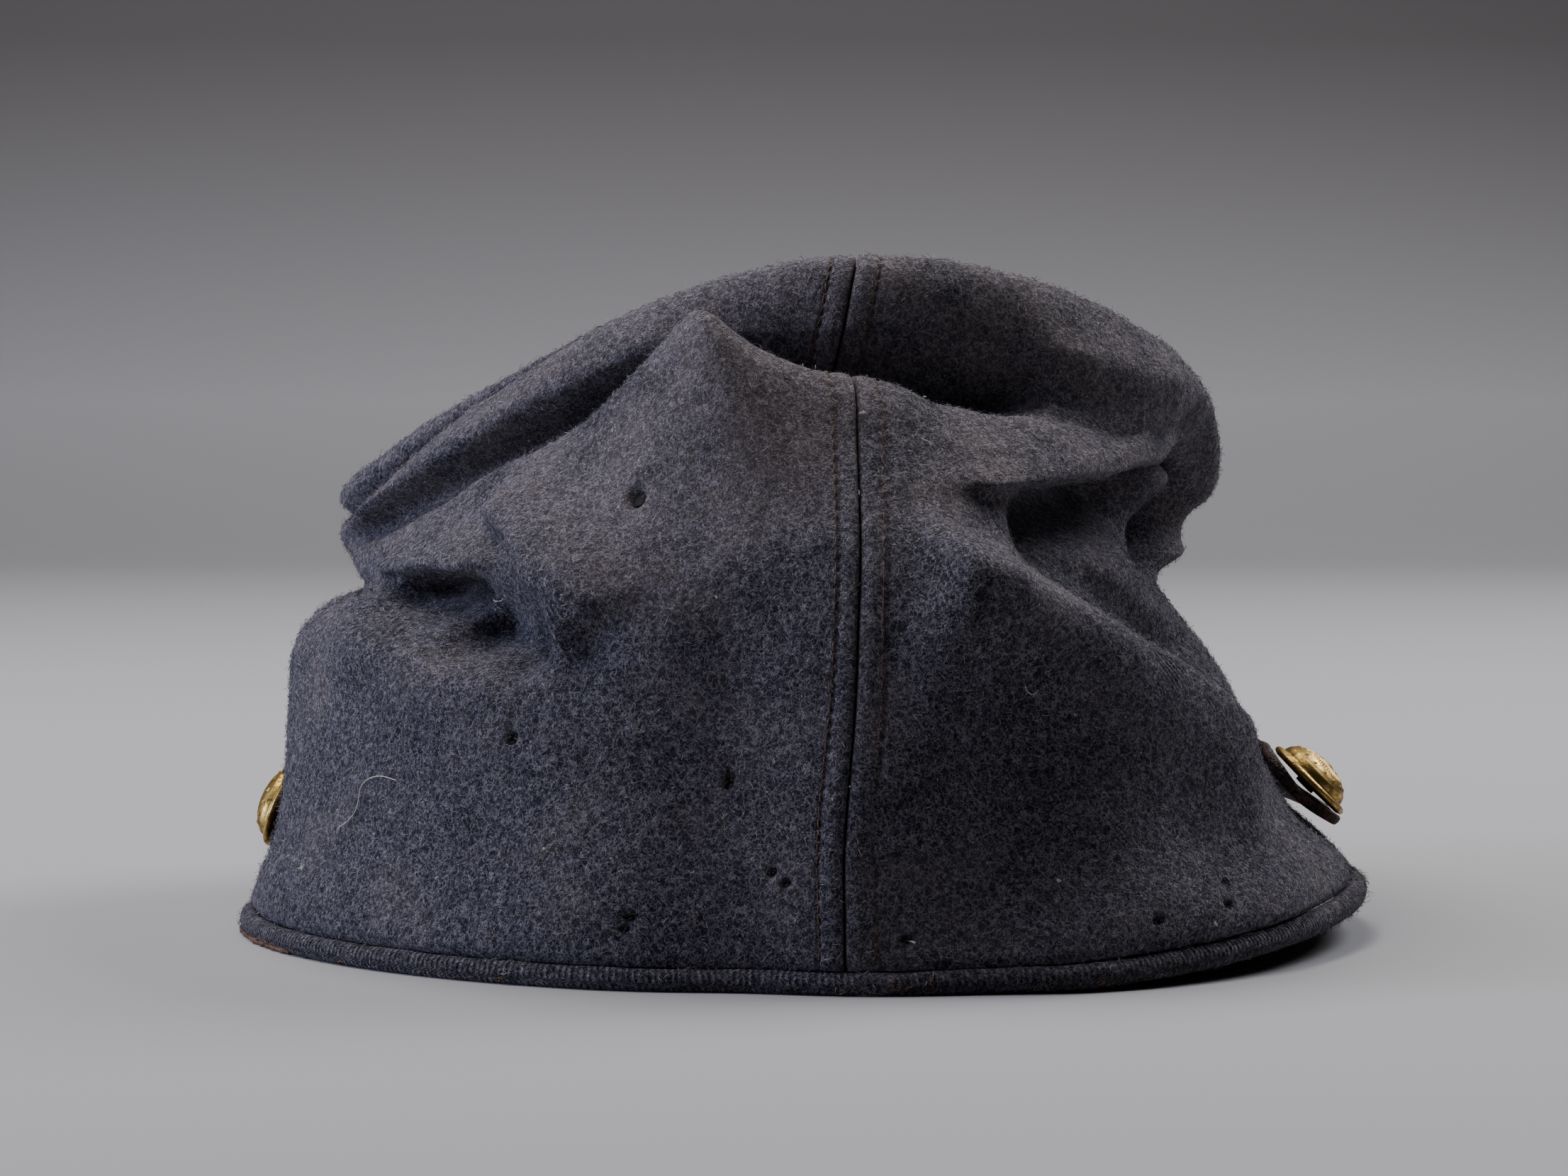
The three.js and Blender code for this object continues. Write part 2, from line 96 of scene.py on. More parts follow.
# One row for each fold, along a path on the cloth
foldNames = ["turnA", "riseA", "turnB", "riseB", "bow", "above", "below", "fade", "out", "up"]
foldRows = [
    (18, 104, 17, 97, 0, 5, 5, 6, 1, 4),
    (19, 98, 17, 92, 0, 15, 15, 14, 2, 10),
    (24, 108, 66, 105, 0, 6, 7, 12, -3.5, 0),
    (24, 120, 68, 117, 0, 8, 7, 10, 2.5, 0),
    (60, 69, 49, 66.5, 0, 3.5, 6, 4, -13, -0.5),
    (54, 61, 45, 57, 0, 7, 5, 5, -4, 0),
    (45, 58, 36, 54.5, 0, 8, 5, 4, -10, -1),
    (60, 56, 40, 46, 0, 4, 9, 8, 1.5, 0.5),
    (43, 84, 32, 57, 0, 10, 2.7, 5, 5.5, 1),
    (64, 80, 48, 74, 1.5, 8, 4.5, 5, 4.5, -0.5),
    (31, 56, 28, 54, 0, 4, 5, 4, -3, 0),
    (-24, 84, -60, 96, 0, 9, 4, 10, 6, -2),
    (-14, 100, -44, 104, 0, 10, 12, 9, 0, -3.5),
    (-30, 108, -50, 109, 0, 10, 7, 9, 6.5, 2),
    (-36, 78.5, -70, 92.5, 0, 4, 10, 8, -12, 0),
    (-12, 69, -22, 62, 0, 4, 6, 5, 1.2, 0.5),
    (-17, 63, -60, 36, 4, 6, 18, 8, 7, 1),
    (-34, 68, -68, 48, 2, 7, 7, 10, -6, 0),
    (-108, 112, -86, 109, 0, 17, 5, 12, 0, -12),
    (-108, 107, -84, 105, 0, 4, 4, 9, -3.5, -1),
    (-98, 90, -97, 76, 0, 9, 7, 9, 11, 0),
    (-72, 93, -95, 90, 0, 4, 5, 5, 4.5, 0.5),
    (-87, 87, -86, 75, 0, 3.5, 5.5, 5, -11, 0),
    (82, 140, 112, 140, 0, 16, 30, 12, 2, -1.5),
    (10, 4, 12, 50, 0, 12, 12, 14, -3, 0),
    (-18, 16, -24, 40, 0, 14, 14, 16, -3, 0),
    (-24, 2, -50, 5, 0, 11, 8, 12, 3.5, 0),
]
folds = [dict(zip(foldNames, row)) for row in foldRows]

cloth = {
    "wall": 2.0,
    "topRise": 140.0,
    "mmPerDegree": 1.45,
    "seamTurn": 0.12,
    "gap": 0.35,
}


def together(*values):
    return np.broadcast_arrays(*[np.asarray(value, float) for value in values])


def bell(x):
    return np.exp(-x**2)


def sinCos(turn):
    return np.sin(np.radians(turn)), np.cos(np.radians(turn))


def gridOf(*axes):
    return np.meshgrid(*axes, indexing="ij")


def around(count):
    return np.linspace(0, 2 * math.pi, count, endpoint=False)


def column(name, rise):
    # smooth curve through one column of the sections
    knots = sections["rise"]
    values = sections[name]
    i = np.clip(np.searchsorted(knots, rise, side="right") - 1, 0, len(knots) - 2)
    before = np.maximum(i - 1, 0)
    after = np.minimum(i + 2, len(knots) - 1)
    span = knots[i + 1] - knots[i]
    t = (rise - knots[i]) / span
    slopeA = (values[i + 1] - values[before]) / (knots[i + 1] - knots[before]) * span
    slopeB = (values[after] - values[i]) / (knots[after] - knots[i]) * span
    return ((2 * t**3 - 3 * t**2 + 1) * values[i] + (t**3 - 2 * t**2 + t) * slopeA
            + (3 * t**2 - 2 * t**3) * values[i + 1] + (t**3 - t**2) * slopeB)


def foldStrength(fold, turn, rise):
    dx = (fold["turnB"] - fold["turnA"]) * cloth["mmPerDegree"]
    dy = fold["riseB"] - fold["riseA"]
    length = math.hypot(dx, dy)
    px = (turn - fold["turnA"]) * cloth["mmPerDegree"]
    py = rise - fold["riseA"]
    along = (px * dx + py * dy) / length**2
    away = (-px * dy + py * dx) / length * (-1 if dx < 0 else 1)
    away = away - fold["bow"] * (1 - (2 * np.clip(along, 0, 1) - 1)**2)
    past = np.maximum(0, np.maximum(-along, along - 1)) * length
    width = np.where(away > 0, fold["above"], fold["below"])
    return np.exp(-(away / width)**2 - (past / fold["fade"])**2)


def capPoint(turn, rise):
    # turn in degrees from the back seam towards the wearer's left, rise in mm up the cloth
    turn, rise = together(turn, rise)
    s, c = sinCos(turn)
    middle = column("middle", rise)
    reach = np.where(c > 0, column("back", rise) - middle, column("front", rise) + middle)
    side = np.where(s > 0, column("left", rise), column("right", rise))
    x = side * s + column("seam", rise) * np.maximum(0, c)**2
    y = middle + reach * c
    z = (np.where(c > 0, column("zBack", rise), column("zFront", rise)) * c**2
         + np.where(s > 0, column("zLeft", rise), column("zRight", rise)) * s**2)
    for fold in folds:
        strength = foldStrength(fold, turn, rise)
        x = x + strength * (fold["out"] * s)
        y = y + strength * (fold["out"] * c)
        z = z + strength * fold["up"]
    return np.stack([x, y, z], -1)


def unit(vectors):
    return vectors / np.maximum(np.linalg.norm(vectors, axis=-1, keepdims=True), 1e-9)


def outward(turn, rise, turnSpan=3.0, riseSpan=4.0):
    across = capPoint(turn + turnSpan, rise) - capPoint(turn - turnSpan, rise)
    low = np.maximum(rise - riseSpan, 0)
    high = np.minimum(rise + riseSpan, cloth["topRise"])
    return unit(np.cross(capPoint(turn, high) - capPoint(turn, low), across))


def offCloth(turn, rise, distance):
    turn, rise = together(turn, rise)
    distance = np.asarray(distance, float)[..., None]
    return capPoint(turn, rise) + outward(turn, rise) * distance


rippleStart = (31.7, 17.3)
rippleSize = 96


def ripple(x, y, cell, seed):
    # soft unevenness, about -1 to 1, that repeats only after many cells
    size = rippleSize
    lattice = np.random.default_rng(seed).uniform(-1, 1, (size, size))
    u = x / cell + rippleStart[0]
    v = y / cell + rippleStart[1]
    i = np.floor(u).astype(int)
    j = np.floor(v).astype(int)
    fu, fv = [f * f * (3 - 2 * f) for f in (u - i, v - j)]
    a = lattice[i % size, j % size]
    b = lattice[(i + 1) % size, j % size]
    c = lattice[i % size, (j + 1) % size]
    d = lattice[(i + 1) % size, (j + 1) % size]
    return (a * (1 - fu) + b * fu) * (1 - fv) + (c * (1 - fu) + d * fu) * fv


def smooth(low, high, value):
    t = np.clip((value - low) / (high - low), 0, 1)
    return t * t * (3 - 2 * t)


def addMesh(name, points, faces, material, uv=None):
    mesh = bpy.data.meshes.new(name)
    mesh.from_pydata([tuple(p) for p in toFrame(points)], [], [tuple(f) for f in faces])
    if uv is not None:
        layer = mesh.uv_layers.new(name="cloth")
        corner = np.empty(len(mesh.loops), int)
        mesh.loops.foreach_get("vertex_index", corner)
        layer.data.foreach_set("uv", np.asarray(uv, float)[corner].ravel())
    mesh.polygons.foreach_set("use_smooth", [True] * len(mesh.polygons))
    mesh.materials.append(material)
    mesh.update()
    return addObject(name, mesh)


def gridFaces(rows, columns, wraps=False, start=0, flip=False):
    # quads over a grid of rows by columns, numbered row by row
    i, j = gridOf(np.arange(rows if wraps else rows - 1), np.arange(columns - 1))
    below = (i + 1) % rows
    quads = np.stack([i * columns + j, below * columns + j, below * columns + j + 1, i * columns
        + j + 1], -1).reshape(-1, 4) + start
    return quads[:, ::-1] if flip else quads


def ringFaces(rows, columns, start=0, loop=False):
    # quads between closed rings of points, with a cap on each end unless they meet
    i, j = gridOf(np.arange(rows if loop else rows - 1), np.arange(columns))
    ahead = (i + 1) % rows
    beside = (j + 1) % columns
    quads = np.stack([i * columns + j, i * columns + beside, ahead * columns + beside,
        ahead * columns + j], -1).reshape(-1, 4) + start
    faces = quads.tolist()
    if not loop:
        last = start + (rows - 1) * columns
        faces += [list(range(start + columns - 1, start - 1, -1)),
            list(range(last, last + columns))]
    return faces


def standIn(piece, name):
    # the piece takes the place of the model's piece of that name
    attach(piece, "root")
    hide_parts(name)
    print(name, "made")


def sweptPiece(name, rings, material, loop=False, uv=None):
    # one closed piece through rings of points
    rows, columns = rings.shape[:2]
    piece = addMesh(name, rings.reshape(-1, 3), ringFaces(rows, columns, 0, loop), material, uv)
    standIn(piece, name)


def addTubes(name, lines, material, sides=5):
    # many thin round strands in one piece; each line is its points and its radii
    angles = around(sides)
    points, faces = [], []
    start = 0
    for line, radii in lines:
        line = np.asarray(line, float)
        along = unit(np.gradient(line, axis=0))
        side = unit(np.cross(along, (0.3, 0.2, 1.0)))
        over = np.cross(side, along)
        radii = np.broadcast_to(radii, len(line))[:, None, None]
        spokes = (side[:, None] * np.cos(angles)[:, None]
                  + over[:, None] * np.sin(angles)[:, None])
        rings = line[:, None] + radii * spokes
        points.append(rings.reshape(-1, 3))
        faces += ringFaces(len(line), sides, start)
        start += len(line) * sides
    piece = addMesh(name, np.concatenate(points), faces, material)
    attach(piece, "root")
    print(name, len(lines), "strands")


def hexColour(text):
    # sRGB hex to linear, opaque
    parts = [int(text[i:i + 2], 16) / 255 for i in (0, 2, 4)]
    return (*[p / 12.92 if p <= 0.04045 else ((p + 0.055) / 1.055)**2.4 for p in parts], 1.0)


def addNode(tree, kind, links=None, stops=None, **settings):
    # a node, its inputs as a node, (node, output) or plain values, a ramp's stops, its settings
    node = tree.nodes.new("ShaderNode" + kind)
    for name, value in settings.items():
        setattr(node, name, value)
    for name, source in (links or {}).items():
        if isinstance(source, bpy.types.Node):
            source = next(output for output in source.outputs if output.enabled)
        elif isinstance(source, tuple) and isinstance(source[0], bpy.types.Node):
            source = source[0].outputs[source[1]]
        if isinstance(source, bpy.types.NodeSocket):
            tree.links.new(source, node.inputs[name])
        else:
            node.inputs[name].default_value = source
    if stops:
        elements = node.color_ramp.elements
        elements[0].position, elements[1].position = stops[0][0], stops[-1][0]
        for position, colour in stops[1:-1]:
            elements.new(position)
        for element, (position, colour) in zip(elements, stops):
            element.color = hexColour(colour)
    return node


def newMaterial(name):
    # a material, the function that adds its nodes, and places in mm
    material = bpy.data.materials.new(name)
    material.use_nodes = True
    material.node_tree.nodes.clear()
    add = partial(addNode, material.node_tree)
    place = add("TexCoord")
    inMm = add("Mapping", {"Vector": (place, "Object"), "Scale": (1000, 1000, 1000)})
    return material, add, inMm


def closeMaterial(material, add, shader):
    add("OutputMaterial", {"Surface": shader})
    return material


# Fulled and napped wool, dyed indigo with undyed fibres among it: matt, speckled light and
# dark by curly tufts, with a little sheen at the edges and brown dust in broad patches
wool = {
    "tuft": 0.48,       # mm, curls of nap: drawn coarser than the 0.03 mm fibres, to show
    "speck": 1.2,       # mm, clumps of tufts
    "fibre": 1.7,       # mm between single long pale fibres
    "curl": 0.9,        # mm that they wander
    "patch": 16.0,      # mm, wear, fading and dust
    "shadow": "08080c",
    "ground": "262737",
    "light": "5a5765",
    "pale": "a39ea6",
    "dust": "8f8078",
    "stain": (31.0, 78.0),  # mm round from the seam and up the cloth
    "stainFrom": 8.0,   # mm from its middle to where it starts to fade
    "stainTo": 30.0,
    "dustFrom": 30.0,   # mm up from the table; it lies thickest on top
    "dustTo": 95.0,
}

# A wave texture of scale 1 has a rib each 0.314 of a unit; the twill's ribs are 0.95 mm apart
ribScale = 0.314 / 0.95


def woolMaterial(name, look):
    material, add, inMm = newMaterial(name)
    tufts = add("TexNoise", {"Vector": inMm, "Scale": 1 / wool["tuft"], "Detail": 3.0,
        "Roughness": 0.62, "Distortion": 1.6})
    specks = add("TexNoise", {"Vector": inMm, "Scale": 1 / wool["speck"], "Detail": 2.0,
        "Roughness": 0.6, "Distortion": 1.0})
    patches = add("TexNoise", {"Vector": inMm, "Scale": 1 / wool["patch"], "Detail": 3.0,
        "Roughness": 0.55})
    both = add("Mix", {"Factor": 0.3, "A": tufts, "B": specks}, data_type="FLOAT")
    base = add("ValToRGB", {"Fac": both}, [(0.39, wool["shadow"]), (0.47, wool["ground"]),
        (0.55, wool["light"]), (0.65, wool["pale"])])
    # long pale fibres, the edges of cells bent by noise
    bend = add("TexNoise", {"Vector": inMm, "Scale": 0.8, "Detail": 2.0})
    bent = add("VectorMath", {0: (bend, "Color"), 1: (3 * wool["curl"],) * 3, 2: inMm},
        operation="MULTIPLY_ADD")
    cells = add("TexVoronoi", {"Vector": bent, "Scale": 1 / wool["fibre"]},
        feature="DISTANCE_TO_EDGE")
    fibres = add("ValToRGB", {"Fac": cells}, [(0.03, "b0b0b0"), (0.07, "000000")])
    haired = add("Mix", {"Factor": fibres, "A": base, "B": hexColour(wool["pale"])},
        data_type="RGBA")
    height = add("SeparateXYZ", {"Vector": inMm})
    upThere = add("MapRange", {"Value": (height, "Z"), "From Min": wool["dustFrom"],
        "From Max": wool["dustTo"], "To Min": -0.1, "To Max": 0.1})
    sewn = add("TexCoord")
    fromStain = add("VectorMath", {0: (sewn, "UV"), 1: wool["stain"] + (0,)}, operation="DISTANCE")
    stained = add("MapRange", {"Value": fromStain, "From Min": wool["stainFrom"],
        "From Max": wool["stainTo"], "To Min": look["stained"], "To Max": 0.0},
        interpolation_type="SMOOTHSTEP")
    settled = add("Math", {0: patches, 1: upThere}, operation="ADD")
    settledStain = add("Math", {0: settled, 1: stained}, operation="ADD")
    dusty = add("ValToRGB", {"Fac": settledStain}, [(0.42, "000000"), (0.8, look["dusty"])])
    dusted = add("Mix", {"Factor": dusty, "A": haired, "B": hexColour(wool["dust"])},
        data_type="RGBA", blend_type="SCREEN")
    # worn places show the weave as slanting ribs
    turned = add("Mapping", {"Vector": (sewn, "UV"), "Rotation": (0, 0, look["slant"])})
    ribs = add("TexWave", {"Vector": turned, "Scale": ribScale, "Distortion": 1.2, "Detail": 2.0,
        "Detail Scale": 1.5}, wave_type="BANDS", bands_direction="X")
    worn = add("ValToRGB", {"Fac": patches}, [look["worn"], (look["worn"][0] + 0.12, "000000")])
    woven = add("Mix", {"Factor": worn, "A": dusted, "B": ribs}, data_type="RGBA",
        blend_type="MULTIPLY")
    relief = add("Math", {0: (ribs, "Fac"), 1: worn, 2: both}, operation="MULTIPLY_ADD")
    raised = add("Math", {0: fibres, 1: 0.35, 2: relief}, operation="MULTIPLY_ADD")
    bump = add("Bump", {"Height": raised, "Strength": 1.0, "Distance": 0.0007})
    shader = add("BsdfPrincipled", {"Base Color": woven, "Normal": bump, "Roughness": 0.95,
        "IOR": 1.5, "Specular IOR Level": 0.12, "Sheen Weight": 0.08, "Sheen Roughness": 0.6})
    return closeMaterial(material, add, shader)


# Thin vegetable-tanned leather: fine pebbled grain, worn and stained in patches, dull where
# it is handled and faintly glossy between
def leatherMaterial(name, look):
    material, add, inMm = newMaterial(name)
    grain = add("TexVoronoi", {"Vector": inMm, "Scale": 1 / look["grain"], "Smoothness": 0.4},
        feature="SMOOTH_F1")
    stain = add("TexNoise", {"Vector": inMm, "Scale": 1 / look["patch"], "Detail": 5.0,
        "Roughness": 0.65, "Distortion": 0.8})
    colour = add("ValToRGB", {"Fac": stain}, [(0.32, look["dark"]), (0.52, look["ground"]),
        (0.72, look["worn"])])
    gloss = add("MapRange", {"Value": stain, "From Min": 0.3, "From Max": 0.7,
        "To Min": look["gloss"], "To Max": look["gloss"] + 0.25})
    height = add("Math", {0: grain, 1: stain}, operation="ADD")
    bump = add("Bump", {"Height": height, "Strength": look["relief"], "Distance": 0.0004})
    shader = add("BsdfPrincipled", {"Base Color": colour, "Roughness": gloss, "Normal": bump,
        "IOR": 1.5})
    return closeMaterial(material, add, shader)


# Stamped brass, fire-gilt: warm pale gold, rubbed bright on what stands up, with dull brown
# tarnish in patches
def brassMaterial(name, look):
    material, add, inMm = newMaterial(name)
    tarnish = add("TexNoise", {"Vector": inMm, "Scale": 1 / look["patch"], "Detail": 5.0,
        "Roughness": 0.7, "Distortion": 0.6})
    scuffs = add("TexNoise", {"Vector": inMm, "Scale": 3.0, "Detail": 3.0})
    colour = add("ValToRGB", {"Fac": tarnish}, [(0.34, look["tarnish"]), (0.5, look["dull"]),
        (0.66, look["gilt"])])
    gloss = add("MapRange", {"Value": tarnish, "From Min": 0.35, "From Max": 0.65, "To Min": 0.55,
        "To Max": 0.3})
    bump = add("Bump", {"Height": scuffs, "Strength": 0.25, "Distance": 0.00015})
    shader = add("BsdfPrincipled", {"Base Color": colour, "Metallic": 1.0, "Roughness": gloss,
        "Normal": bump})
    return closeMaterial(material, add, shader)


# Twisted linen sewing thread: matt brown, flecked lighter by noise as a painted highlight on the
# tops of its plies
def threadMaterial(name, dark, light):
    material, add, inMm = newMaterial(name)
    plies = add("TexNoise", {"Vector": inMm, "Scale": 4.0, "Detail": 2.0})
    colour = add("ValToRGB", {"Fac": plies}, [(0.35, dark), (0.62, light)])
    shader = add("BsdfPrincipled", {"Base Color": colour, "Roughness": 0.85, "IOR": 1.5})
    return closeMaterial(material, add, shader)


# Loose wool fibres of the nap: most of them as dark as the cloth, some undyed, a few brown
def napMaterial(name, tones):
    material, add = newMaterial(name)[:2]
    sewn = add("TexCoord")
    tone = add("SeparateXYZ", {"Vector": (sewn, "UV")})
    colour = add("ValToRGB", {"Fac": (tone, "X")}, tones)
    shader = add("BsdfPrincipled", {"Base Color": colour, "Roughness": 0.75, "IOR": 1.5})
    return closeMaterial(material, add, shader)


bodyWool = woolMaterial("fulledWool", {"dusty": "a0a0a0", "stained": 0.2, "slant": 0.5,
    "worn": (0.3, "b4b4b4")})
crownWool = woolMaterial("fulledWoolCrown", {"dusty": "8c8c8c", "stained": 0.0, "slant": 0.9,
    "worn": (0.28, "808080")})
weltWool = woolMaterial("twillWoolWelt", {"dusty": "606060", "stained": 0.0, "slant": 0.15,
    "worn": (0.6, "c0c0c0")})
peakLeather = leatherMaterial("blackenedPeakLeather", {
    "grain": 0.9, "patch": 9.0, "gloss": 0.35, "relief": 0.35,
    "dark": "0d0b0a", "ground": "1d1917", "worn": "3a2c24"})
strapLeather = leatherMaterial("redBrownStrapLeather", {
    "grain": 0.6, "patch": 2.5, "gloss": 0.55, "relief": 0.8,
    "dark": "140d0a", "ground": "33190f", "worn": "6b3526"})
bandLeather = leatherMaterial("tanBandLeather", {
    "grain": 0.7, "patch": 7.0, "gloss": 0.5, "relief": 0.5,
    "dark": "2e1a10", "ground": "5f3a24", "worn": "8c6142"})
giltBrass = brassMaterial("giltBrass", {"patch": 1.6, "tarnish": "5a4524", "dull": "a88949",
    "gilt": "e3c27a"})
seamThread = threadMaterial("brownLinenThread", "2a1c15", "7a5f48")
woolNap = napMaterial("looseWoolFibres", [(0.0, "0b0b10"), (0.3, "34333f"), (0.6, "55525f"),
    (0.8, "8a8690"), (0.94, "b8b3b8"), (1.0, "8a6a4a")])
# bare warp yarn: warm brown against the blue cloth
bareThread = threadMaterial("bareWarpThread", "4a2c1a", "9a6c48")
# lint and hairs: matt near white, the brightest flecks on the cap
paleLint = threadMaterial("paleLint", "a8a29a", "e4e0da")
# painted shade behind a moth hole: a near-black matt disc standing in for the shade inside the
# cap, so that it reads as depth
holePaintedShade = threadMaterial("paintedShadeUnderMothHole", "030303", "0a0808")
print("materials ready")

# The seam, pressed open, with a row of stitches on each side that wanders a little
seam = {
    "groove": 0.75, "grooveWidth": 0.32,
    "rib": 0.2, "ribAt": 1.8, "ribWidth": 1.1,
    "stitchDepth": 0.4, "stitchWidth": 0.42, "pitch": 2.0, "stitch": 1.5, "thread": 0.13,
    "allowance": 0.12, "allowanceFrom": 3.6, "allowanceTo": 5.2,
}
stitchRises = [0, 16, 25, 42, 53, 90, 110, 140]
stitchAt = {1: [3.9, 3.9, 4.0, 3.5, 3.2, 3.5, 4.1, 3.9],
            -1: [5.3, 4.6, 3.9, 4.5, 4.4, 4.2, 3.9, 4.5]}


def seamRelief(distance, rise, side):
    # how far the sewn seam lifts or sinks the cloth, at a distance from its middle
    row = np.interp(rise, stitchRises, stitchAt[side])
    relief = -seam["groove"] * bell(distance / seam["grooveWidth"])
    relief += seam["rib"] * bell((distance - seam["ribAt"]) / seam["ribWidth"])
    beat = 0.75 + 0.25 * np.cos(2 * math.pi * rise / seam["pitch"])
    relief -= seam["stitchDepth"] * beat * bell((distance - row) / seam["stitchWidth"])
    pressed = smooth(seam["allowanceTo"], seam["allowanceFrom"], distance)
    return relief + seam["allowance"] * pressed


# Moth holes: where, and how wide and tall in mm
holeNames = ["turn", "rise", "wide", "tall"]
holeRows = [
    (26.0, 77.4, 2.2, 2.4), (35.2, 38.5, 1.3, 1.7), (12.4, 31.1, 1.2, 2.2),
    (7.2, 16.4, 1.2, 1.3), (5.7, 14.6, 1.1, 1.1), (20.5, 8.8, 1.3, 1.1),
    (21.0, 6.7, 1.1, 1.0), (-6.1, 5.4, 1.4, 1.2), (-32.3, 6.0, 1.3, 1.2),
    (-42.0, 7.0, 1.2, 1.2), (-44.1, 11.1, 1.2, 1.1),
]
holes = [dict(zip(holeNames, row)) for row in holeRows]
holeDepth = 1.5
holeSpread = 0.62


def holeRelief(turn, rise):
    relief = np.zeros_like(turn)
    for hole in holes:
        x = (turn - hole["turn"]) * cloth["mmPerDegree"] / (holeSpread * hole["wide"])
        y = (rise - hole["rise"]) / (holeSpread * hole["tall"])
        relief -= holeDepth * np.exp(-(x * x + y * y)**2)
    return relief


# Slight dents of worn cloth: how high and how wide in mm, and the seed
dents = [(0.55, 19, 3), (0.25, 8.5, 4), (0.09, 3.6, 5)]

bodySheet = {
    "riseSteps": 270, "innerTurnSteps": 60, "innerRiseSteps": 48,
    "finest": 0.17, "seen": 0.44, "hidden": 1.3,    # degrees from column to column
    "backGrowth": 0.03, "frontGrowth": 0.06, "backWidth": 4, "hiddenFrom": 95, "hiddenTo": 125,
}
# Where the cloth is cut and sewn: how far its edge sinks and waves, in mm
cutEdge = {"calm": 6, "hemSink": 0.8, "topSink": 0.6, "sinkWidth": 0.9, "wave": 0.3,
    "waveWidth": 4.0, "lips": [0.25, 0.9, 1.8]}


def turnsAcrossHalf():
    # columns crowd at the seams and spread out of sight at the front
    turns = [cloth["seamTurn"]]
    while turns[-1] < 180 - cloth["seamTurn"]:
        t = turns[-1]
        near = bodySheet["finest"] + bodySheet["backGrowth"] * max(t - bodySheet["backWidth"], 0)
        hidden = float(smooth(bodySheet["hiddenFrom"], bodySheet["hiddenTo"], t))
        away = bodySheet["seen"] + (bodySheet["hidden"] - bodySheet["seen"]) * hidden
        front = bodySheet["finest"] + bodySheet["frontGrowth"] * (180 - t)
        turns.append(t + min(near, away, front))
    turns[-1] = 180 - cloth["seamTurn"]
    return np.array(turns)


def makeBodyHalf(name, side):
    turns = turnsAcrossHalf() * side
    rises = np.linspace(0, cloth["topRise"], bodySheet["riseSteps"])
    turn, rise = gridOf(turns, rises)
    points = capPoint(turn, rise)
    speed = np.linalg.norm(np.gradient(points, axis=0), axis=-1) / np.abs(
        np.gradient(turns))[:, None]
    fromBack = np.abs(turn) * speed
    fromFront = (180 - np.abs(turn)) * speed
    relief = seamRelief(fromBack, rise, side) + seamRelief(fromFront, rise, side)
    relief += holeRelief(turn, rise)
    calm = (smooth(0, cutEdge["calm"], rise)
            * smooth(cloth["topRise"], cloth["topRise"] - cutEdge["calm"], rise))
    girth = turn * cloth["mmPerDegree"]
    relief += sum(high * ripple(girth, rise, wide, seed) for high, wide, seed in dents) * calm
    relief -= cutEdge["hemSink"] * bell(rise / cutEdge["sinkWidth"])
    fromTop = cloth["topRise"] - rise
    relief -= cutEdge["topSink"] * bell(fromTop / cutEdge["sinkWidth"])
    fade = np.exp(-fromTop / cutEdge["waveWidth"])
    relief += cutEdge["wave"] * ripple(girth, rise, cutEdge["waveWidth"], 8) * fade
    normal = unit(np.cross(np.gradient(points, axis=1), np.gradient(points, axis=0))) * side
    points = points + normal * relief[..., None]
    # the cut edges turn inwards
    lips = cutEdge["lips"]
    wide = outward(turn, rise)
    edgeLow = [points[:, :1] - wide[:, :1] * d for d in lips][::-1]
    edgeHigh = [points[:, -1:] - wide[:, -1:] * d for d in lips]
    full = np.concatenate(edgeLow + [points] + edgeHigh, 1)
    wideFull = np.concatenate([wide[:, :1]] * 3 + [wide] + [wide[:, -1:]] * 3, 1)
    sideA = [full[:1] - wideFull[:1] * d for d in lips][::-1]
    sideB = [full[-1:] - wideFull[-1:] * d for d in lips]
    full = np.concatenate(sideA + [full] + sideB, 0)
    rows, columns = full.shape[:2]
    padTurn = np.concatenate([[turns[0]] * 3, turns, [turns[-1]] * 3])
    padRise = np.concatenate([[0] * 3, rises, [cloth["topRise"]] * 3])
    uvOuter = np.stack(gridOf(padTurn * cloth["mmPerDegree"], padRise), -1)
    faces = gridFaces(rows, columns, flip=side > 0)
    innerTurns = np.linspace(turns[0], turns[-1], bodySheet["innerTurnSteps"])
    innerRises = np.linspace(0, cloth["topRise"], bodySheet["innerRiseSteps"])
    ti, ri = gridOf(innerTurns, innerRises)
    inner = offCloth(ti, ri, -cloth["wall"])
    uvInner = np.stack([ti * cloth["mmPerDegree"], ri], -1)
    innerFaces = gridFaces(*ti.shape, start=rows * columns, flip=side < 0)
    allPoints = np.concatenate([full.reshape(-1, 3), inner.reshape(-1, 3)])
    allUv = np.concatenate([uvOuter.reshape(-1, 2), uvInner.reshape(-1, 2)])
    piece = addMesh(name, allPoints, np.concatenate([faces, innerFaces]), bodyWool, allUv)
    standIn(piece, name)
    return points, normal


halves = {1: makeBodyHalf("body_left", 1), -1: makeBodyHalf("body_right", -1)}
halfTurns = turnsAcrossHalf()


def onCloth(turn, rise, lift=0.0):
    # a place on the finished cloth, and the way that the cloth faces there
    points, normal = halves[1 if turn >= 0 else -1]
    across = float(np.interp(abs(turn), halfTurns, np.arange(len(halfTurns))))
    upward = rise / cloth["topRise"] * (bodySheet["riseSteps"] - 1)
    i = min(int(across), len(halfTurns) - 2)
    j = min(int(upward), bodySheet["riseSteps"] - 2)
    u, v = across - i, upward - j
    place, face = [(grid[i, j] * (1 - v) + grid[i, j + 1] * v) * (1 - u)
        + (grid[i + 1, j] * (1 - v) + grid[i + 1, j + 1] * v) * u for grid in (points, normal)]
    face = unit(face)
    return place + face * lift, face


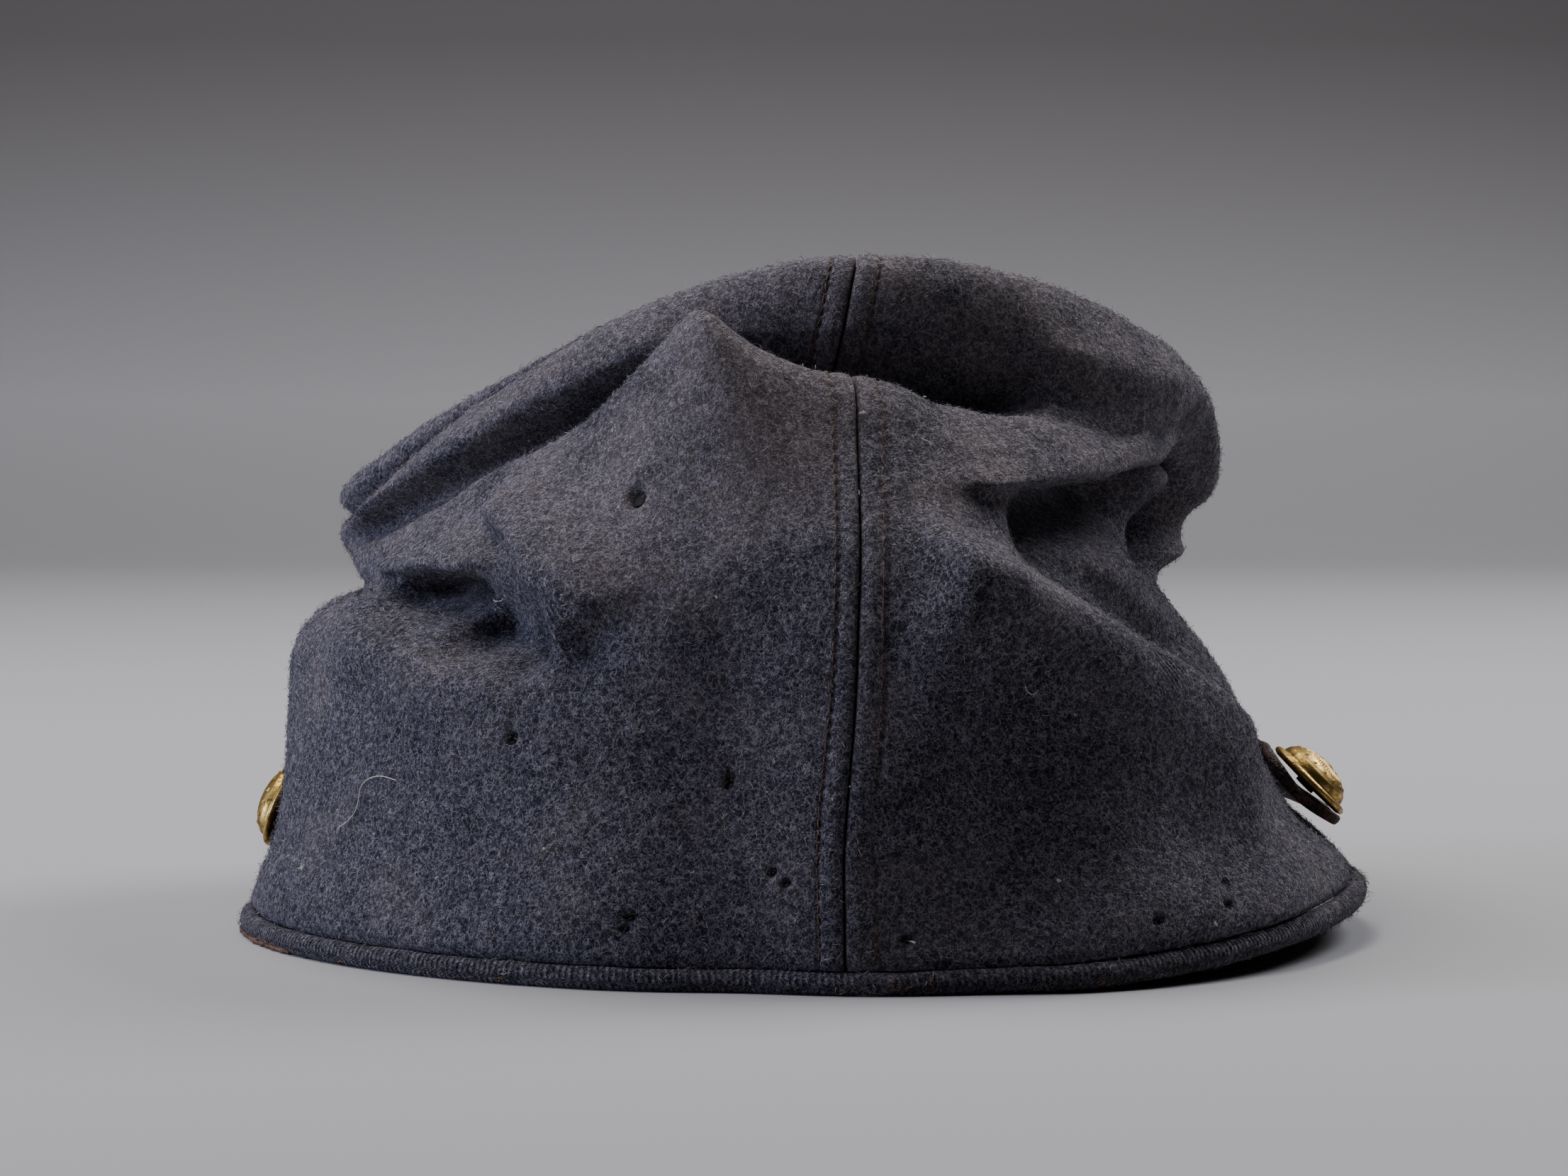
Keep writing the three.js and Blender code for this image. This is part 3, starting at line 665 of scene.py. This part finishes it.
# Crown top: rolls up and over its own seam, most on the left, and sags in the middle
crown = {
    "roll": {"left": 8.0, "right": 0.5, "back": 0.5, "front": 4.0},
    "rollWidth": 4.5, "bulge": 0.8, "bulgeWidth": 1.5, "leftBulge": 1.6, "leftWidth": 0.6,
    "pull": 18.0, "innerPull": 0.6, "hollow": 6.0,
    "turnSteps": 420, "inwardSteps": 64, "crowding": 1.4,
    "mmPerDegree": 1.2, "across": 60,
    "dent": 0.5, "dentWidth": 12, "edgeSink": 0.6, "wave": 0.35, "waveWidth": 3.5,
}
crownMiddle = capPoint(np.arange(0, 360, 10.0), cloth["topRise"]).mean(0)


def crownPoint(turn, t):
    turn, t = together(turn, t)
    s, c = sinCos(turn)
    roll = (np.where(s > 0, crown["roll"]["left"], crown["roll"]["right"]) * s**2
            + np.where(c > 0, crown["roll"]["back"], crown["roll"]["front"]) * c**2)
    edge = capPoint(turn, cloth["topRise"])
    run = unit(edge - capPoint(turn, cloth["topRise"] - 3))
    edge = edge + run * cloth["gap"]
    run = unit(run * 3 * np.maximum(c, 0)[..., None]**2 + np.array([0, 0, 0.6]))
    reach = crownMiddle - edge
    inward = t * np.linalg.norm(reach, axis=-1)
    t = t[..., None]
    point = edge * (2 * t**3 - 3 * t**2 + 1) + crownMiddle * (3 * t**2 - 2 * t**3)
    point = point + run * crown["pull"] * (t**3 - 2 * t**2 + t)
    point = point + reach * (t**3 - t**2) * crown["innerPull"]
    t = t[..., 0]
    rise = (1 - np.exp(-inward / crown["rollWidth"])) * np.cos(math.pi / 2 * t)**2
    point[..., 2] += roll * rise - crown["hollow"] * np.sin(math.pi / 2 * t)**2
    bulge = crown["bulge"] + crown["leftBulge"] * np.maximum(s, 0)**4
    width = crown["bulgeWidth"] + crown["leftWidth"] * np.maximum(s, 0)**4
    outside = bulge * inward / width * np.exp(1 - inward / width) * (1 - np.maximum(c, 0))
    point[..., :2] -= unit(reach[..., :2]) * outside[..., None]
    return point


def makeCrownTop():
    turns = np.linspace(-180, 180, crown["turnSteps"], endpoint=False)
    ts = np.linspace(0, 1, crown["inwardSteps"])**crown["crowding"]
    turn, t = gridOf(turns, ts)
    points = crownPoint(turn, t)
    ahead = crownPoint(turn, np.minimum(t + 0.02, 1)) - crownPoint(turn, np.maximum(t - 0.01, 0))
    across = crownPoint(turn + 2, t) - crownPoint(turn - 2, t)
    normal = unit(np.cross(ahead, across))
    normal[:, -1] = (0, 0, 1)
    inward = t * crown["across"]
    girth = turn * crown["mmPerDegree"]
    relief = crown["dent"] * ripple(girth, inward, crown["dentWidth"], 11)
    relief = relief * smooth(0, cutEdge["calm"], inward) * smooth(1.0, 0.8, t)
    relief -= crown["edgeSink"] * bell(inward / cutEdge["sinkWidth"])
    fade = np.exp(-inward / cutEdge["waveWidth"])
    relief += crown["wave"] * ripple(girth, inward, crown["waveWidth"], 12) * fade
    outer = points + normal * relief[..., None]
    inner = points - normal * cloth["wall"]
    rows, columns = turn.shape
    full = np.concatenate([outer.reshape(-1, 3), inner.reshape(-1, 3)])
    top = gridFaces(rows, columns, wraps=True)
    under = gridFaces(rows, columns, wraps=True, start=rows * columns, flip=True)
    here = np.arange(rows) * columns
    ahead = np.roll(here, -1)
    rim = np.stack([here, here + rows * columns, ahead + rows * columns, ahead], -1)
    uv = np.stack([girth, inward], -1).reshape(-1, 2)
    faces = np.concatenate([top, under, rim])
    piece = addMesh("crown_top", full, faces, crownWool, np.concatenate([uv, uv]))
    standIn(piece, "crown_top")
    return outer, normal


crownCloth = makeCrownTop()

# Hem welt: a cord covered with twill, plumper than the model's to close the seam over it
welt = {"radius": 1.75, "plump": 1.98, "ground": 0.2, "steps": 1400, "sides": 20,
        "mmPerDegree": 1.6, "uneven": 0.05, "unevenWidth": 5}


def weltMiddle(turn):
    down = unit(capPoint(turn, 0) - capPoint(turn, 3))
    return offCloth(turn, 0, -cloth["wall"] / 2) + down * (welt["radius"] + cloth["gap"])


def makeHemWelt():
    turns = np.linspace(-180, 180, welt["steps"], endpoint=False)
    middle = weltMiddle(turns)
    out = outward(turns, np.zeros_like(turns))
    out[:, 2] = 0
    out = unit(out)
    turn, angle = gridOf(turns, around(welt["sides"]))
    girth = turn * welt["mmPerDegree"]
    lumps = ripple(girth, angle * 2, welt["unevenWidth"], 21)
    radius = welt["plump"] * (1 + welt["uneven"] * lumps)
    points = (middle[:, None] + out[:, None] * (radius * np.cos(angle))[..., None]
        + np.array([0, 0, 1.0]) * (radius * np.sin(angle))[..., None])
    points[..., 2] = np.maximum(points[..., 2], welt["ground"])
    uv = np.stack([girth, angle * welt["radius"]], -1).reshape(-1, 2)
    sweptPiece("hem_welt", points, weltWool, loop=True, uv=uv)
    facing = unit(points - middle[:, None])
    return points[:, ::-1], facing[:, ::-1]


weltCloth = makeHemWelt()

# Chin strap: from one button round the front to the other, standing a little off the cloth
strap = {
    "rise": 18.0, "width": 17.0, "thick": 1.8, "left": 101.0, "right": -88.0,
    "endTop": 0.6, "endBottom": 2.2, "front": 3.6, "easeTurn": 26.0,
    "corner": 4.0, "edge": 0.6, "steps": 260, "endSteps": 12, "endShare": 0.06,
    "mmPerDegree": 1.5, "wave": 0.25, "waveWidth": 9, "worn": 0.18, "wornWidth": 2.5,
}


def strapPoint(turn, up, depth):
    turn, up, depth = together(turn, up, depth)
    rise = strap["rise"] + strap["width"] * (up - 0.5)
    signed = np.where(turn > 180, turn - 360, turn)
    fromEnd = np.where(signed > 0, signed - strap["left"], strap["right"] - signed)
    ease = smooth(0, strap["easeTurn"], fromEnd)
    end = strap["endBottom"] + (strap["endTop"] - strap["endBottom"]) * up
    return offCloth(signed, rise, end + (strap["front"] - end) * ease + depth)


def strapFrame(turn):
    along = unit(strapPoint(turn + 2, 0.5, 0) - strapPoint(turn - 2, 0.5, 0))
    up = unit(strapPoint(turn, 1, 0) - strapPoint(turn, 0, 0))
    return along, up, np.cross(up, along)


def roundedBox(halfWide, low, high, corner, steps=4):
    # outline of a flat bar with rounded edges, as pairs (across, depth)
    corners = [(halfWide - corner, high - corner, 0), (corner - halfWide, high - corner, 90),
        (corner - halfWide, low + corner, 180), (halfWide - corner, low + corner, 270)]
    outline = []
    for x, y, angle in corners:
        for a in np.radians(np.linspace(angle, angle + 90, steps)):
            outline.append((x + corner * math.cos(a), y + corner * math.sin(a)))
    return np.array(outline)


def makeChinStrap():
    end = 360 + strap["right"]
    turns = np.linspace(strap["left"], end, strap["steps"])
    eased = (strap["left"] + (end - strap["left"]) * np.linspace(0, 1, strap["endSteps"])**2
        * strap["endShare"])
    turns = np.unique(np.concatenate([eased, turns, end - (eased - strap["left"])]))
    outline = roundedBox(strap["width"] / 2, 0, strap["thick"], strap["edge"])
    fill = np.linspace(-0.94, 0.94, 12) * strap["width"] / 2
    outline = np.concatenate([outline[:4], [(x, strap["thick"]) for x in fill[::-1]],
        outline[4:12], [(x, 0) for x in fill], outline[12:]])
    fromEnd = np.minimum(turns - strap["left"], end - turns) * cloth["mmPerDegree"]
    corner = strap["corner"]
    inset = corner - np.sqrt(np.maximum(corner**2 - np.maximum(corner - fromEnd, 0)**2, 0))
    narrow = 1 - inset / (strap["width"] / 2)
    girth = turns[:, None] * strap["mmPerDegree"]
    wave = ripple(girth, girth * 0, strap["waveWidth"], 41) * strap["wave"]
    across = outline[:, 0] * narrow[:, None] / strap["width"] + 0.5
    depth = np.broadcast_to(outline[:, 1], across.shape) + wave
    worn = strap["worn"] * ripple(girth, across * strap["width"], strap["wornWidth"], 42)
    depth = depth + worn * (outline[:, 1] > 1)
    rings = strapPoint(turns[:, None], across, depth)
    uv = np.stack(np.broadcast_arrays(girth, across * strap["width"]), -1)
    sweptPiece("chin_strap", rings, strapLeather, uv=uv.reshape(-1, 2))


makeChinStrap()

# Strap slide: a flat brass loop round the strap
slide = {"turn": 152.0, "bar": 3.0, "rim": 1.0, "side": 1.5, "halfWide": 9.1, "near": -0.5,
    "far": 2.3, "innerCorner": 0.5, "outerCorner": 1.0, "barCorner": 0.3}


def makeStrapSlide():
    along, up, out = strapFrame(slide["turn"])
    middle = strapPoint(slide["turn"], 0.5, 0)
    inner = roundedBox(slide["halfWide"], slide["near"], slide["far"], slide["innerCorner"], 9)
    outer = roundedBox(slide["halfWide"] + slide["side"], slide["near"] - slide["rim"],
        slide["far"] + slide["rim"], slide["outerCorner"], 9)
    section = roundedBox(slide["bar"] / 2, 0, 1, slide["barCorner"], 5)
    rings = []
    for near, far in zip(inner, outer):
        ring = [middle + along * a + up * (near[0] + (far[0] - near[0]) * d)
                + out * (near[1] + (far[1] - near[1]) * d) for a, d in section]
        rings.append(ring)
    sweptPiece("strap_slide", np.array(rings), giltBrass, loop=True)


makeStrapSlide()

# Buttons: a flat flange, a dome with fine rays, and a ring of small stars round a plain boss
button = {
    "inset": 5.5, "seat": 0.65, "sides": 240, "rays": 48,
    "rayAt": 3.5, "rayLength": 0.75, "rayHeight": 0.07,
    "stars": 14, "starAt": 5.15, "starSize": 0.62, "starWaist": 0.42, "starHeight": 0.28,
}
dome = {"foot": 2.12, "height": 3.45, "reach": 6.5, "boss": 0.3, "bossWidth": 1.5, "steps": 44}
# the two raised rings: how high, how far out and how wide in mm
domeRings = [(0.14, 2.5, 0.2), (0.12, 6.05, 0.16)]
buttonOutline = [(1.2, -0.05), (1.8, 0.0), (1.8, 0.5), (6.9, 0.65), (7.6, 0.95), (7.78, 1.3),
    (7.7, 1.65), (7.35, 1.95), (6.9, 2.1), (6.5, 2.12)]


def domeHeight(r):
    height = dome["foot"] + dome["height"] * (1 - np.clip(r / dome["reach"], 0, 1)**2.6)**0.6
    height += sum(high * bell((r - at) / wide) for high, at, wide in domeRings)
    return height + dome["boss"] * np.exp(-(r / dome["bossWidth"])**4)


def makeButton(name, turn):
    along, up, out = strapFrame(turn)
    seat = strapPoint(turn, 0.5, 0) + out * (strap["thick"] + button["seat"])
    radii = np.linspace(dome["reach"] - 0.04, 0.05, dome["steps"])
    outline = np.array(buttonOutline + [(r, domeHeight(r)) for r in radii])
    angles = around(button["sides"])
    radius = outline[:, 0][:, None]
    height = outline[:, 1][:, None] * np.ones(len(angles))
    rays = np.exp(-((radius - button["rayAt"]) / button["rayLength"])**4) * (height > 2.2)
    height = height + button["rayHeight"] * np.cos(button["rays"] * angles) * rays
    spokes = np.cos(angles)[:, None] * along + np.sin(angles)[:, None] * up
    rings = seat + height[..., None] * out + radius[..., None] * spokes
    points = [rings.reshape(-1, 3)]
    faces = ringFaces(len(outline), len(angles))
    start = len(points[0])
    for k in range(button["stars"]):
        middleAngle = 2 * math.pi * k / button["stars"]
        centre = button["starAt"] * np.array([math.cos(middleAngle), math.sin(middleAngle)])
        star = []
        for m in range(10):
            size = button["starSize"] * (1 if m % 2 == 0 else button["starWaist"])
            a = middleAngle + m * math.pi / 5
            star.append(centre + size * np.array([math.cos(a), math.sin(a)]))
        star = [(p[0], p[1], domeHeight(np.hypot(*p)) - 0.08) for p in star]
        star.append((centre[0], centre[1], domeHeight(button["starAt"]) + button["starHeight"]))
        points.append(np.array([seat + along * x + up * y + out * z for x, y, z in star]))
        faces += [[start + m, start + (m + 1) % 10, start + 10] for m in range(10)]
        faces.append([start + m for m in range(9, -1, -1)])
        start += 11
    piece = addMesh(name, np.concatenate(points), faces, giltBrass)
    standIn(piece, name)


makeButton("button_left", strap["left"] + button["inset"])
makeButton("button_right", 360 + strap["right"] - button["inset"])

# Peak: flat moulded leather, drooping to the table in front
peak = {"halfTurn": 50.0, "reach": 44.0, "reachAtEnds": 5.0, "thick": 2.0, "clear": 0.2,
        "splay": 0.45, "under": 0.35, "tucked": 2.0, "acrossSteps": 150, "alongSteps": 46,
        "droop": 0.25, "flat": 0.1, "rim": 0.022, "wide": 70, "long": 45,
        "wave": 0.22, "waveWidth": 13}


def peakPoint(across, along, depth):
    turn = 180 + peak["halfTurn"] * across
    signed = np.where(turn > 180, turn - 360, turn)
    root = weltMiddle(signed)
    bow = np.maximum(1 - across**2, 0)
    reach = peak["reachAtEnds"] + (peak["reach"] - peak["reachAtEnds"]) * bow**0.8
    top = root[..., 2] - welt["radius"] - peak["under"]
    drop = (top - peak["thick"] - peak["clear"] + peak["droop"]) * bow**0.5
    direction = unit(np.stack([-peak["splay"] * np.sin(math.pi / 2 * across),
        -np.ones_like(across), np.zeros_like(across)], -1))
    run = (reach + peak["tucked"]) * along - peak["tucked"]
    point = root + direction * run[..., None]
    z = top - drop * (np.maximum(along - peak["flat"], 0) / (1 - peak["flat"]))**1.2
    point[..., 2] = np.maximum(z - depth, peak["clear"])
    return point


def makePeak():
    along = np.linspace(0, 1, peak["alongSteps"])
    rim = peak["rim"]
    path = [(a * (1 - rim), 0.0) for a in along]
    path += [(1 - rim + rim * math.sin(a), peak["thick"] / 2 * (1 - math.cos(a)))
        for a in np.linspace(0.3, math.pi - 0.3, 7)]
    path += [(a * (1 - rim), peak["thick"]) for a in along[::-1]]
    path = np.array(path)
    across, alongAll = gridOf(np.linspace(-1, 1, peak["acrossSteps"]), path[:, 0])
    depth = np.broadcast_to(path[:, 1], across.shape)
    uv = np.stack([across * peak["wide"], alongAll * peak["long"]], -1)
    wave = peak["wave"] * ripple(uv[..., 0], uv[..., 1], peak["waveWidth"], 51)
    sag = wave * (depth < peak["thick"] / 2) * smooth(0, 0.2, alongAll) * smooth(1, 0.9, alongAll)
    rings = peakPoint(across, alongAll, depth - sag)
    sweptPiece("peak", rings[:, ::-1], peakLeather, uv=uv.reshape(-1, 2))


makePeak()

# Sweatband: thin leather inside the hem, its upper edge a little wavy with wear
band = {"low": 1.0, "high": 30.0, "off": 3.0, "thick": 1.2, "steps": 260, "levels": 9,
        "worn": 0.7, "wornWidth": 17, "wave": 0.2}


def makeSweatband():
    turns = np.linspace(-180, 180, band["steps"], endpoint=False)
    levels = np.linspace(0, 1, band["levels"])
    path = [(v, 0.0) for v in levels] + [(1.012, 0.3), (1.012, 0.9)]
    path += [(v, band["thick"]) for v in levels[::-1]] + [(-0.012, 0.9), (-0.012, 0.3)]
    path = np.array(path)
    level = path[:, 0][None, :]
    worn = np.cos(np.radians(turns * 3)) * ripple(turns, turns * 0, band["wornWidth"], 61)
    edge = band["high"] - band["worn"] + band["worn"] * worn
    rise = band["low"] + level * (edge[:, None] - band["low"])
    wave = band["wave"] * np.cos(np.radians(turns * 9))[:, None] * smooth(0.3, 1, level)
    rings = offCloth(turns[:, None], rise, -band["off"] - path[:, 1][None, :] + wave)
    sweptPiece("sweatband", rings, bandLeather, loop=True)


makeSweatband()

# Seam threads, lying in their furrows: each stitch's places along it and how high they lie
stitchShape = [(0, -0.22), (0.15, 0.06), (0.5, 0.14), (0.85, 0.06), (1, -0.22)]


def makeSeamThreads():
    rng = np.random.default_rng(71)
    lines = []
    for side in (1, -1):
        for rise in np.arange(1.5, 137.5, seam["pitch"]):
            speed = float(np.linalg.norm(capPoint(2, rise) - capPoint(-2, rise))) / 4
            away = float(np.interp(rise, stitchRises, stitchAt[side]))
            turn = side * away / max(speed, 0.5)
            lean = rng.normal(0, 0.06)
            line = []
            for share, lift in stitchShape:
                line.append(onCloth(turn + lean * (share - 0.5) * 2, rise + seam["stitch"] * share,
                    lift + rng.normal(0, 0.02))[0])
            lines.append((line, seam["thread"] * rng.uniform(0.8, 1.15)))
    addTubes("seam_threads", lines, seamThread)


makeSeamThreads()

# Frayed yarns round each moth hole, and a near-black disc of painted shade in it
holeCorners = 14
holeYarns = 22
holeShare = 0.5     # of its depth, from the bottom up to the dark


def makeMothHoles():
    rng = np.random.default_rng(72)
    points, faces, yarns = [], [], []
    for hole in holes:
        place, face = onCloth(hole["turn"], hole["rise"], holeShare * holeDepth)
        side = unit(np.cross((0, 0, 1), face))
        over = np.cross(face, side)
        start = len(points)
        points.append(place)
        for k in range(holeCorners):
            a = 2 * math.pi * k / holeCorners
            size = rng.uniform(0.75, 1.2)
            points.append(place + side * math.cos(a) * hole["wide"] / 2 * size
                          + over * math.sin(a) * hole["tall"] / 2 * size)
            faces.append([start, start + 1 + k, start + 1 + (k + 1) % holeCorners])
        for k in range(holeYarns):
            a = rng.uniform(0, 2 * math.pi)
            root = (place + side * math.cos(a) * hole["wide"] * holeSpread
                    + over * math.sin(a) * hole["tall"] * holeSpread + face * 0.2)
            inward = unit(place + face * 0.4 - root + side * rng.normal(0, 0.5)
                + over * rng.normal(0, 0.5))
            length = rng.uniform(0.3, 0.8)
            yarns.append(([root, root + inward * length * 0.5 + face * 0.1,
                root + inward * length], rng.uniform(0.03, 0.06)))
    # the discs are painted shade: near-black, half way down each dent, where the shaded inside of
    # the cap would show
    piece = addMesh("moth_hole_shade_discs", np.array(points), faces, holePaintedShade)
    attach(piece, "root")
    addTubes("frayed_yarns", yarns, bodyWool, 4)


makeMothHoles()

# Loose hairs and straw that lie on the cloth: each a row of places (turn, rise)
looseHairs = [
    [(50.0, 31.4), (51.9, 32.1), (53.2, 32.2), (54.9, 31.6), (56.1, 30.2), (56.1, 28.2),
     (56.3, 26.4), (57.2, 24.6), (58.3, 23.4), (59.2, 22.9), (59.3, 21.6)],
    [(-6.0, 5.6), (-6.4, 5.0), (-6.9, 4.4)],
    [(-22.6, 45.5), (-23.2, 44.0), (-24.2, 43.6), (-24.9, 44.6)],
    [(-10.2, 87.0), (-10.6, 86.6), (-11.4, 86.8), (-12.0, 86.2)],
    [(12.6, 31.6), (12.2, 30.6)],
    [(43.5, 64.0), (46.0, 63.2), (48.5, 63.6)],
]
hairRadius = [0.075, 0.16, 0.08, 0.11, 0.1, 0.08]

# White lint: places (turn, rise), and how big in mm
lintRows = [
    (65.3, 14.0, 0.9), (-38.8, 3.5, 0.9), (42.5, 14.5, 0.5), (-0.6, 89.5, 0.8),
    (49.0, 30.0, 0.4), (38.3, 111.0, 0.6), (60.0, 26.0, 0.4), (-23.5, 13.8, 0.8),
    (-10.5, 96.5, 0.6), (15.0, 60.0, 0.4), (30.0, 20.0, 0.4), (-30.0, 40.0, 0.4),
]


def makeLooseHairs():
    rng = np.random.default_rng(73)
    lines = []
    for hair, radius in zip(looseHairs, hairRadius):
        hair = np.array(hair)
        steps = np.linspace(0, len(hair) - 1, 6 * (len(hair) - 1) + 1)
        turn = np.interp(steps, np.arange(len(hair)), hair[:, 0])
        rise = np.interp(steps, np.arange(len(hair)), hair[:, 1])
        turn = np.convolve(np.pad(turn, 3, mode="edge"), np.ones(7) / 7, mode="valid")
        rise = np.convolve(np.pad(rise, 3, mode="edge"), np.ones(7) / 7, mode="valid")
        lines.append(([onCloth(t, r, 0.3 + radius)[0] for t, r in zip(turn, rise)], radius))
    for turn, rise, size in lintRows:
        for k in range(5):
            path = rng.normal(0, size * 0.45, (6, 3)).cumsum(0) * 0.5
            place, face = onCloth(turn, rise, 0.35)
            path += place - path.mean(0)
            path -= face * np.minimum((path - place) @ face, 0)[:, None]
            lines.append((path, rng.uniform(0.05, 0.09)))
    addTubes("loose_hairs", lines, paleLint)


makeLooseHairs()

# Bare brown warp threads and torn leather at the hem: from turn, to turn, how many, how long
frayRows = [(62, 80, 26, 2.2), (-32, -22, 16, 1.8), (-8, 0, 12, 3.2), (30, 60, 12, 1.4)]
tornEdge = {"from": 63, "to": 84, "steps": 60, "ground": 0.25}


def makeHemFray():
    rng = np.random.default_rng(74)
    threads = []
    for first, last, count, length in frayRows:
        for k in range(count):
            turn = np.array([rng.uniform(first, last)])
            middle = weltMiddle(turn)[0]
            out = unit(outward(turn, np.zeros(1))[0] * (1, 1, 0))
            side = np.cross((0, 0, 1), out)
            height = rng.uniform(-1.45, -0.4)
            reach = math.sqrt(max(welt["radius"]**2 - height**2, 0)) + 0.12
            start = middle + out * reach + np.array([0, 0, height])
            drift = side * rng.normal(0, 1) + np.array([0, 0, rng.normal(0, 0.3)])
            drift = unit(drift) * length * rng.uniform(0.4, 1.0)
            path = np.array([start + drift * t + out * (0.3 * math.sin(3 * t) - 0.1)
                for t in np.linspace(0, 1, 6)])
            path += rng.normal(0, 0.07, path.shape)
            path[:, 2] = np.maximum(path[:, 2], 0.35)
            threads.append((path, rng.uniform(0.06, 0.12)))
    addTubes("hem_fray", threads, bareThread)
    rings = []
    for turn in np.linspace(tornEdge["from"], tornEdge["to"], tornEdge["steps"]):
        at = np.array([float(turn)])
        out = unit(outward(at, np.zeros(1))[0] * (1, 1, 0))
        middle = weltMiddle(at)[0]
        torn = 0.5 + 0.5 * ripple(at * 3, at * 0, 2.0, 75)[0]
        low = middle + out * (1.0 + 0.8 * torn)
        low[2] = tornEdge["ground"]
        high = low + out * 0.35 + np.array([0, 0, 0.35 + 0.7 * torn])
        rings.append([low, low + out * 0.45, high + out * 0.2, high - out * 0.3])
    rings = np.array(rings)
    faces = ringFaces(*rings.shape[:2])
    piece = addMesh("torn_band_edge", rings.reshape(-1, 3), faces, bandLeather)
    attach(piece, "root")


makeHemFray()


# Nap: single loose fibres over all the cloth, lying nearly flat, and none over a moth hole
def makeNap(name, sheet, count, seed):
    rng = np.random.default_rng(seed)
    points, normal = sheet
    corner = points[:-1, :-1].reshape(-1, 3)
    ahead = points[1:, :-1].reshape(-1, 3) - corner
    above = points[:-1, 1:].reshape(-1, 3) - corner
    area = np.linalg.norm(np.cross(ahead, above), axis=-1)
    pick = rng.choice(area.size, count, p=area / area.sum())
    u, v = rng.uniform(size=(2, count, 1))
    root = corner[pick] + u * ahead[pick] + v * above[pick]
    face = normal[:-1, :-1].reshape(-1, 3)[pick]
    side = unit(ahead[pick])
    over = np.cross(face, side)
    heading = rng.uniform(0, 2 * math.pi, (count, 1))
    run = side * np.cos(heading) + over * np.sin(heading)
    beside = np.cross(face, run)
    roll = rng.uniform(0, math.pi, (count, 1))
    broad = (beside * np.cos(roll) + face * np.sin(roll)) * rng.uniform(0.022, 0.045, (count, 1))
    length = rng.uniform(0.6, 1.7, (count, 1))
    lift = rng.uniform(0.1, 0.4, (count, 1)) + (rng.uniform(size=(count, 1)) > 0.93) * 0.5
    bend = rng.normal(0, 0.45, (count, 1)) * length
    middle = root + run * length * 0.5 + face * lift + beside * bend * 0.25
    curl = rng.uniform(0.3, 1.5, (count, 1))
    tip = root + run * length * 0.9 + face * lift * curl + beside * bend
    strip = np.stack([root - broad, root + broad, middle + broad, middle - broad, tip], 1)
    tone = rng.uniform(0, 1, count)
    clear = np.ones(count, bool)
    for hole in holes:
        place = onCloth(hole["turn"], hole["rise"], holeShare * holeDepth)[0]
        clear &= np.linalg.norm(root - place, axis=1) > 0.85 * hole["wide"]
    strip, tone = strip[clear], np.repeat(tone[clear], 5)
    count = len(strip)
    first = np.arange(count)[:, None] * 5
    faces = np.concatenate([first + (0, 1, 2), first + (0, 2, 3), first + (3, 2, 4)], 1)
    piece = addMesh(name, strip.reshape(-1, 3), faces.reshape(-1, 3), woolNap,
        np.stack([tone, tone * 0], -1))
    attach(piece, "root")
    print(name, count, "fibres")


makeNap("nap_left", halves[1], 36000, 81)
makeNap("nap_right", halves[-1], 36000, 82)
makeNap("nap_crown", crownCloth, 16000, 83)
makeNap("nap_welt", weltCloth, 7000, 84)

# Seamless paper: matt light grey, with painted light making it palest at the bend and painted
# shade darkening it up the sweep, where the lamps' light falls off
studio = {
    "floor": "a2a2a5", "bend": "bbbabd", "high": "868382",
    "bendAt": 65.0, "highAt": 260.0,
    "curveFrom": -1.2, "curveRadius": 0.8,
}


def makeStage():
    material, add, inMm = newMaterial("seamlessPaperPaintedFalloff")
    height = add("SeparateXYZ", {"Vector": inMm})
    share = add("MapRange", {"Value": (height, "Z"), "From Max": studio["highAt"]})
    # painted light and shade by height: palest at the bend, darker up the sweep
    colour = add("ValToRGB", {"Fac": share}, [(0.0, studio["floor"]),
        (studio["bendAt"] / studio["highAt"], studio["bend"]), (1.0, studio["high"])])
    shader = add("BsdfPrincipled", {"Base Color": colour, "Roughness": 0.8, "IOR": 1.5})
    closeMaterial(material, add, shader)
    start, radius = studio["curveFrom"], studio["curveRadius"]
    profile = [(3.0, 0.0), (start, 0.0)]
    profile += [(start - radius * math.sin(a), radius - radius * math.cos(a))
        for a in np.linspace(0.05, math.pi / 2, 24)]
    profile += [(start - radius, 3.0)]
    points = [(x * 1000, y * 1000, z * 1000) for x in (-3, 3) for y, z in profile]
    count = len(profile)
    faces = [(i, i + 1, count + i + 1, count + i) for i in range(count - 1)]
    addMesh("floor", np.array(points) + boxMiddle, faces, material)


# Softboxes: size in metres, power in watts
lampNames = ["name", "x", "y", "z", "width", "length", "power", "colour"]
lampRows = [
    ("overhead", 0.3, -0.35, 1.2, 1.0, 0.8, 18.5, "fff8f2"),
    ("left", 1.2, 0.04, 0.36, 0.6, 0.8, 13.5, "d6e0ff"),
    ("right", -0.8, -0.6, 0.9, 0.6, 0.6, 14, "f2f2f8"),
]


def addLight(name, x, y, z, width, length, power, colour):
    data = bpy.data.lights.new(name, "AREA")
    data.shape = "RECTANGLE"
    data.size, data.size_y = width, length
    data.energy = power
    data.color = hexColour(colour)[:3]
    lamp = addObject(name, data)
    lamp.location = (x, y, z)
    aim = Vector((0, 0, 0.05)) - lamp.location
    lamp.rotation_euler = aim.to_track_quat("-Z", "Y").to_euler()


makeStage()
for row in lampRows:
    addLight(**dict(zip(lampNames, row)))
world = bpy.data.worlds.new("studio")
world.use_nodes = True
world.node_tree.nodes["Background"].inputs["Color"].default_value = hexColour("c8ccd4")
world.node_tree.nodes["Background"].inputs["Strength"].default_value = 0.02
bpy.context.scene.world = world
print("studio lit")
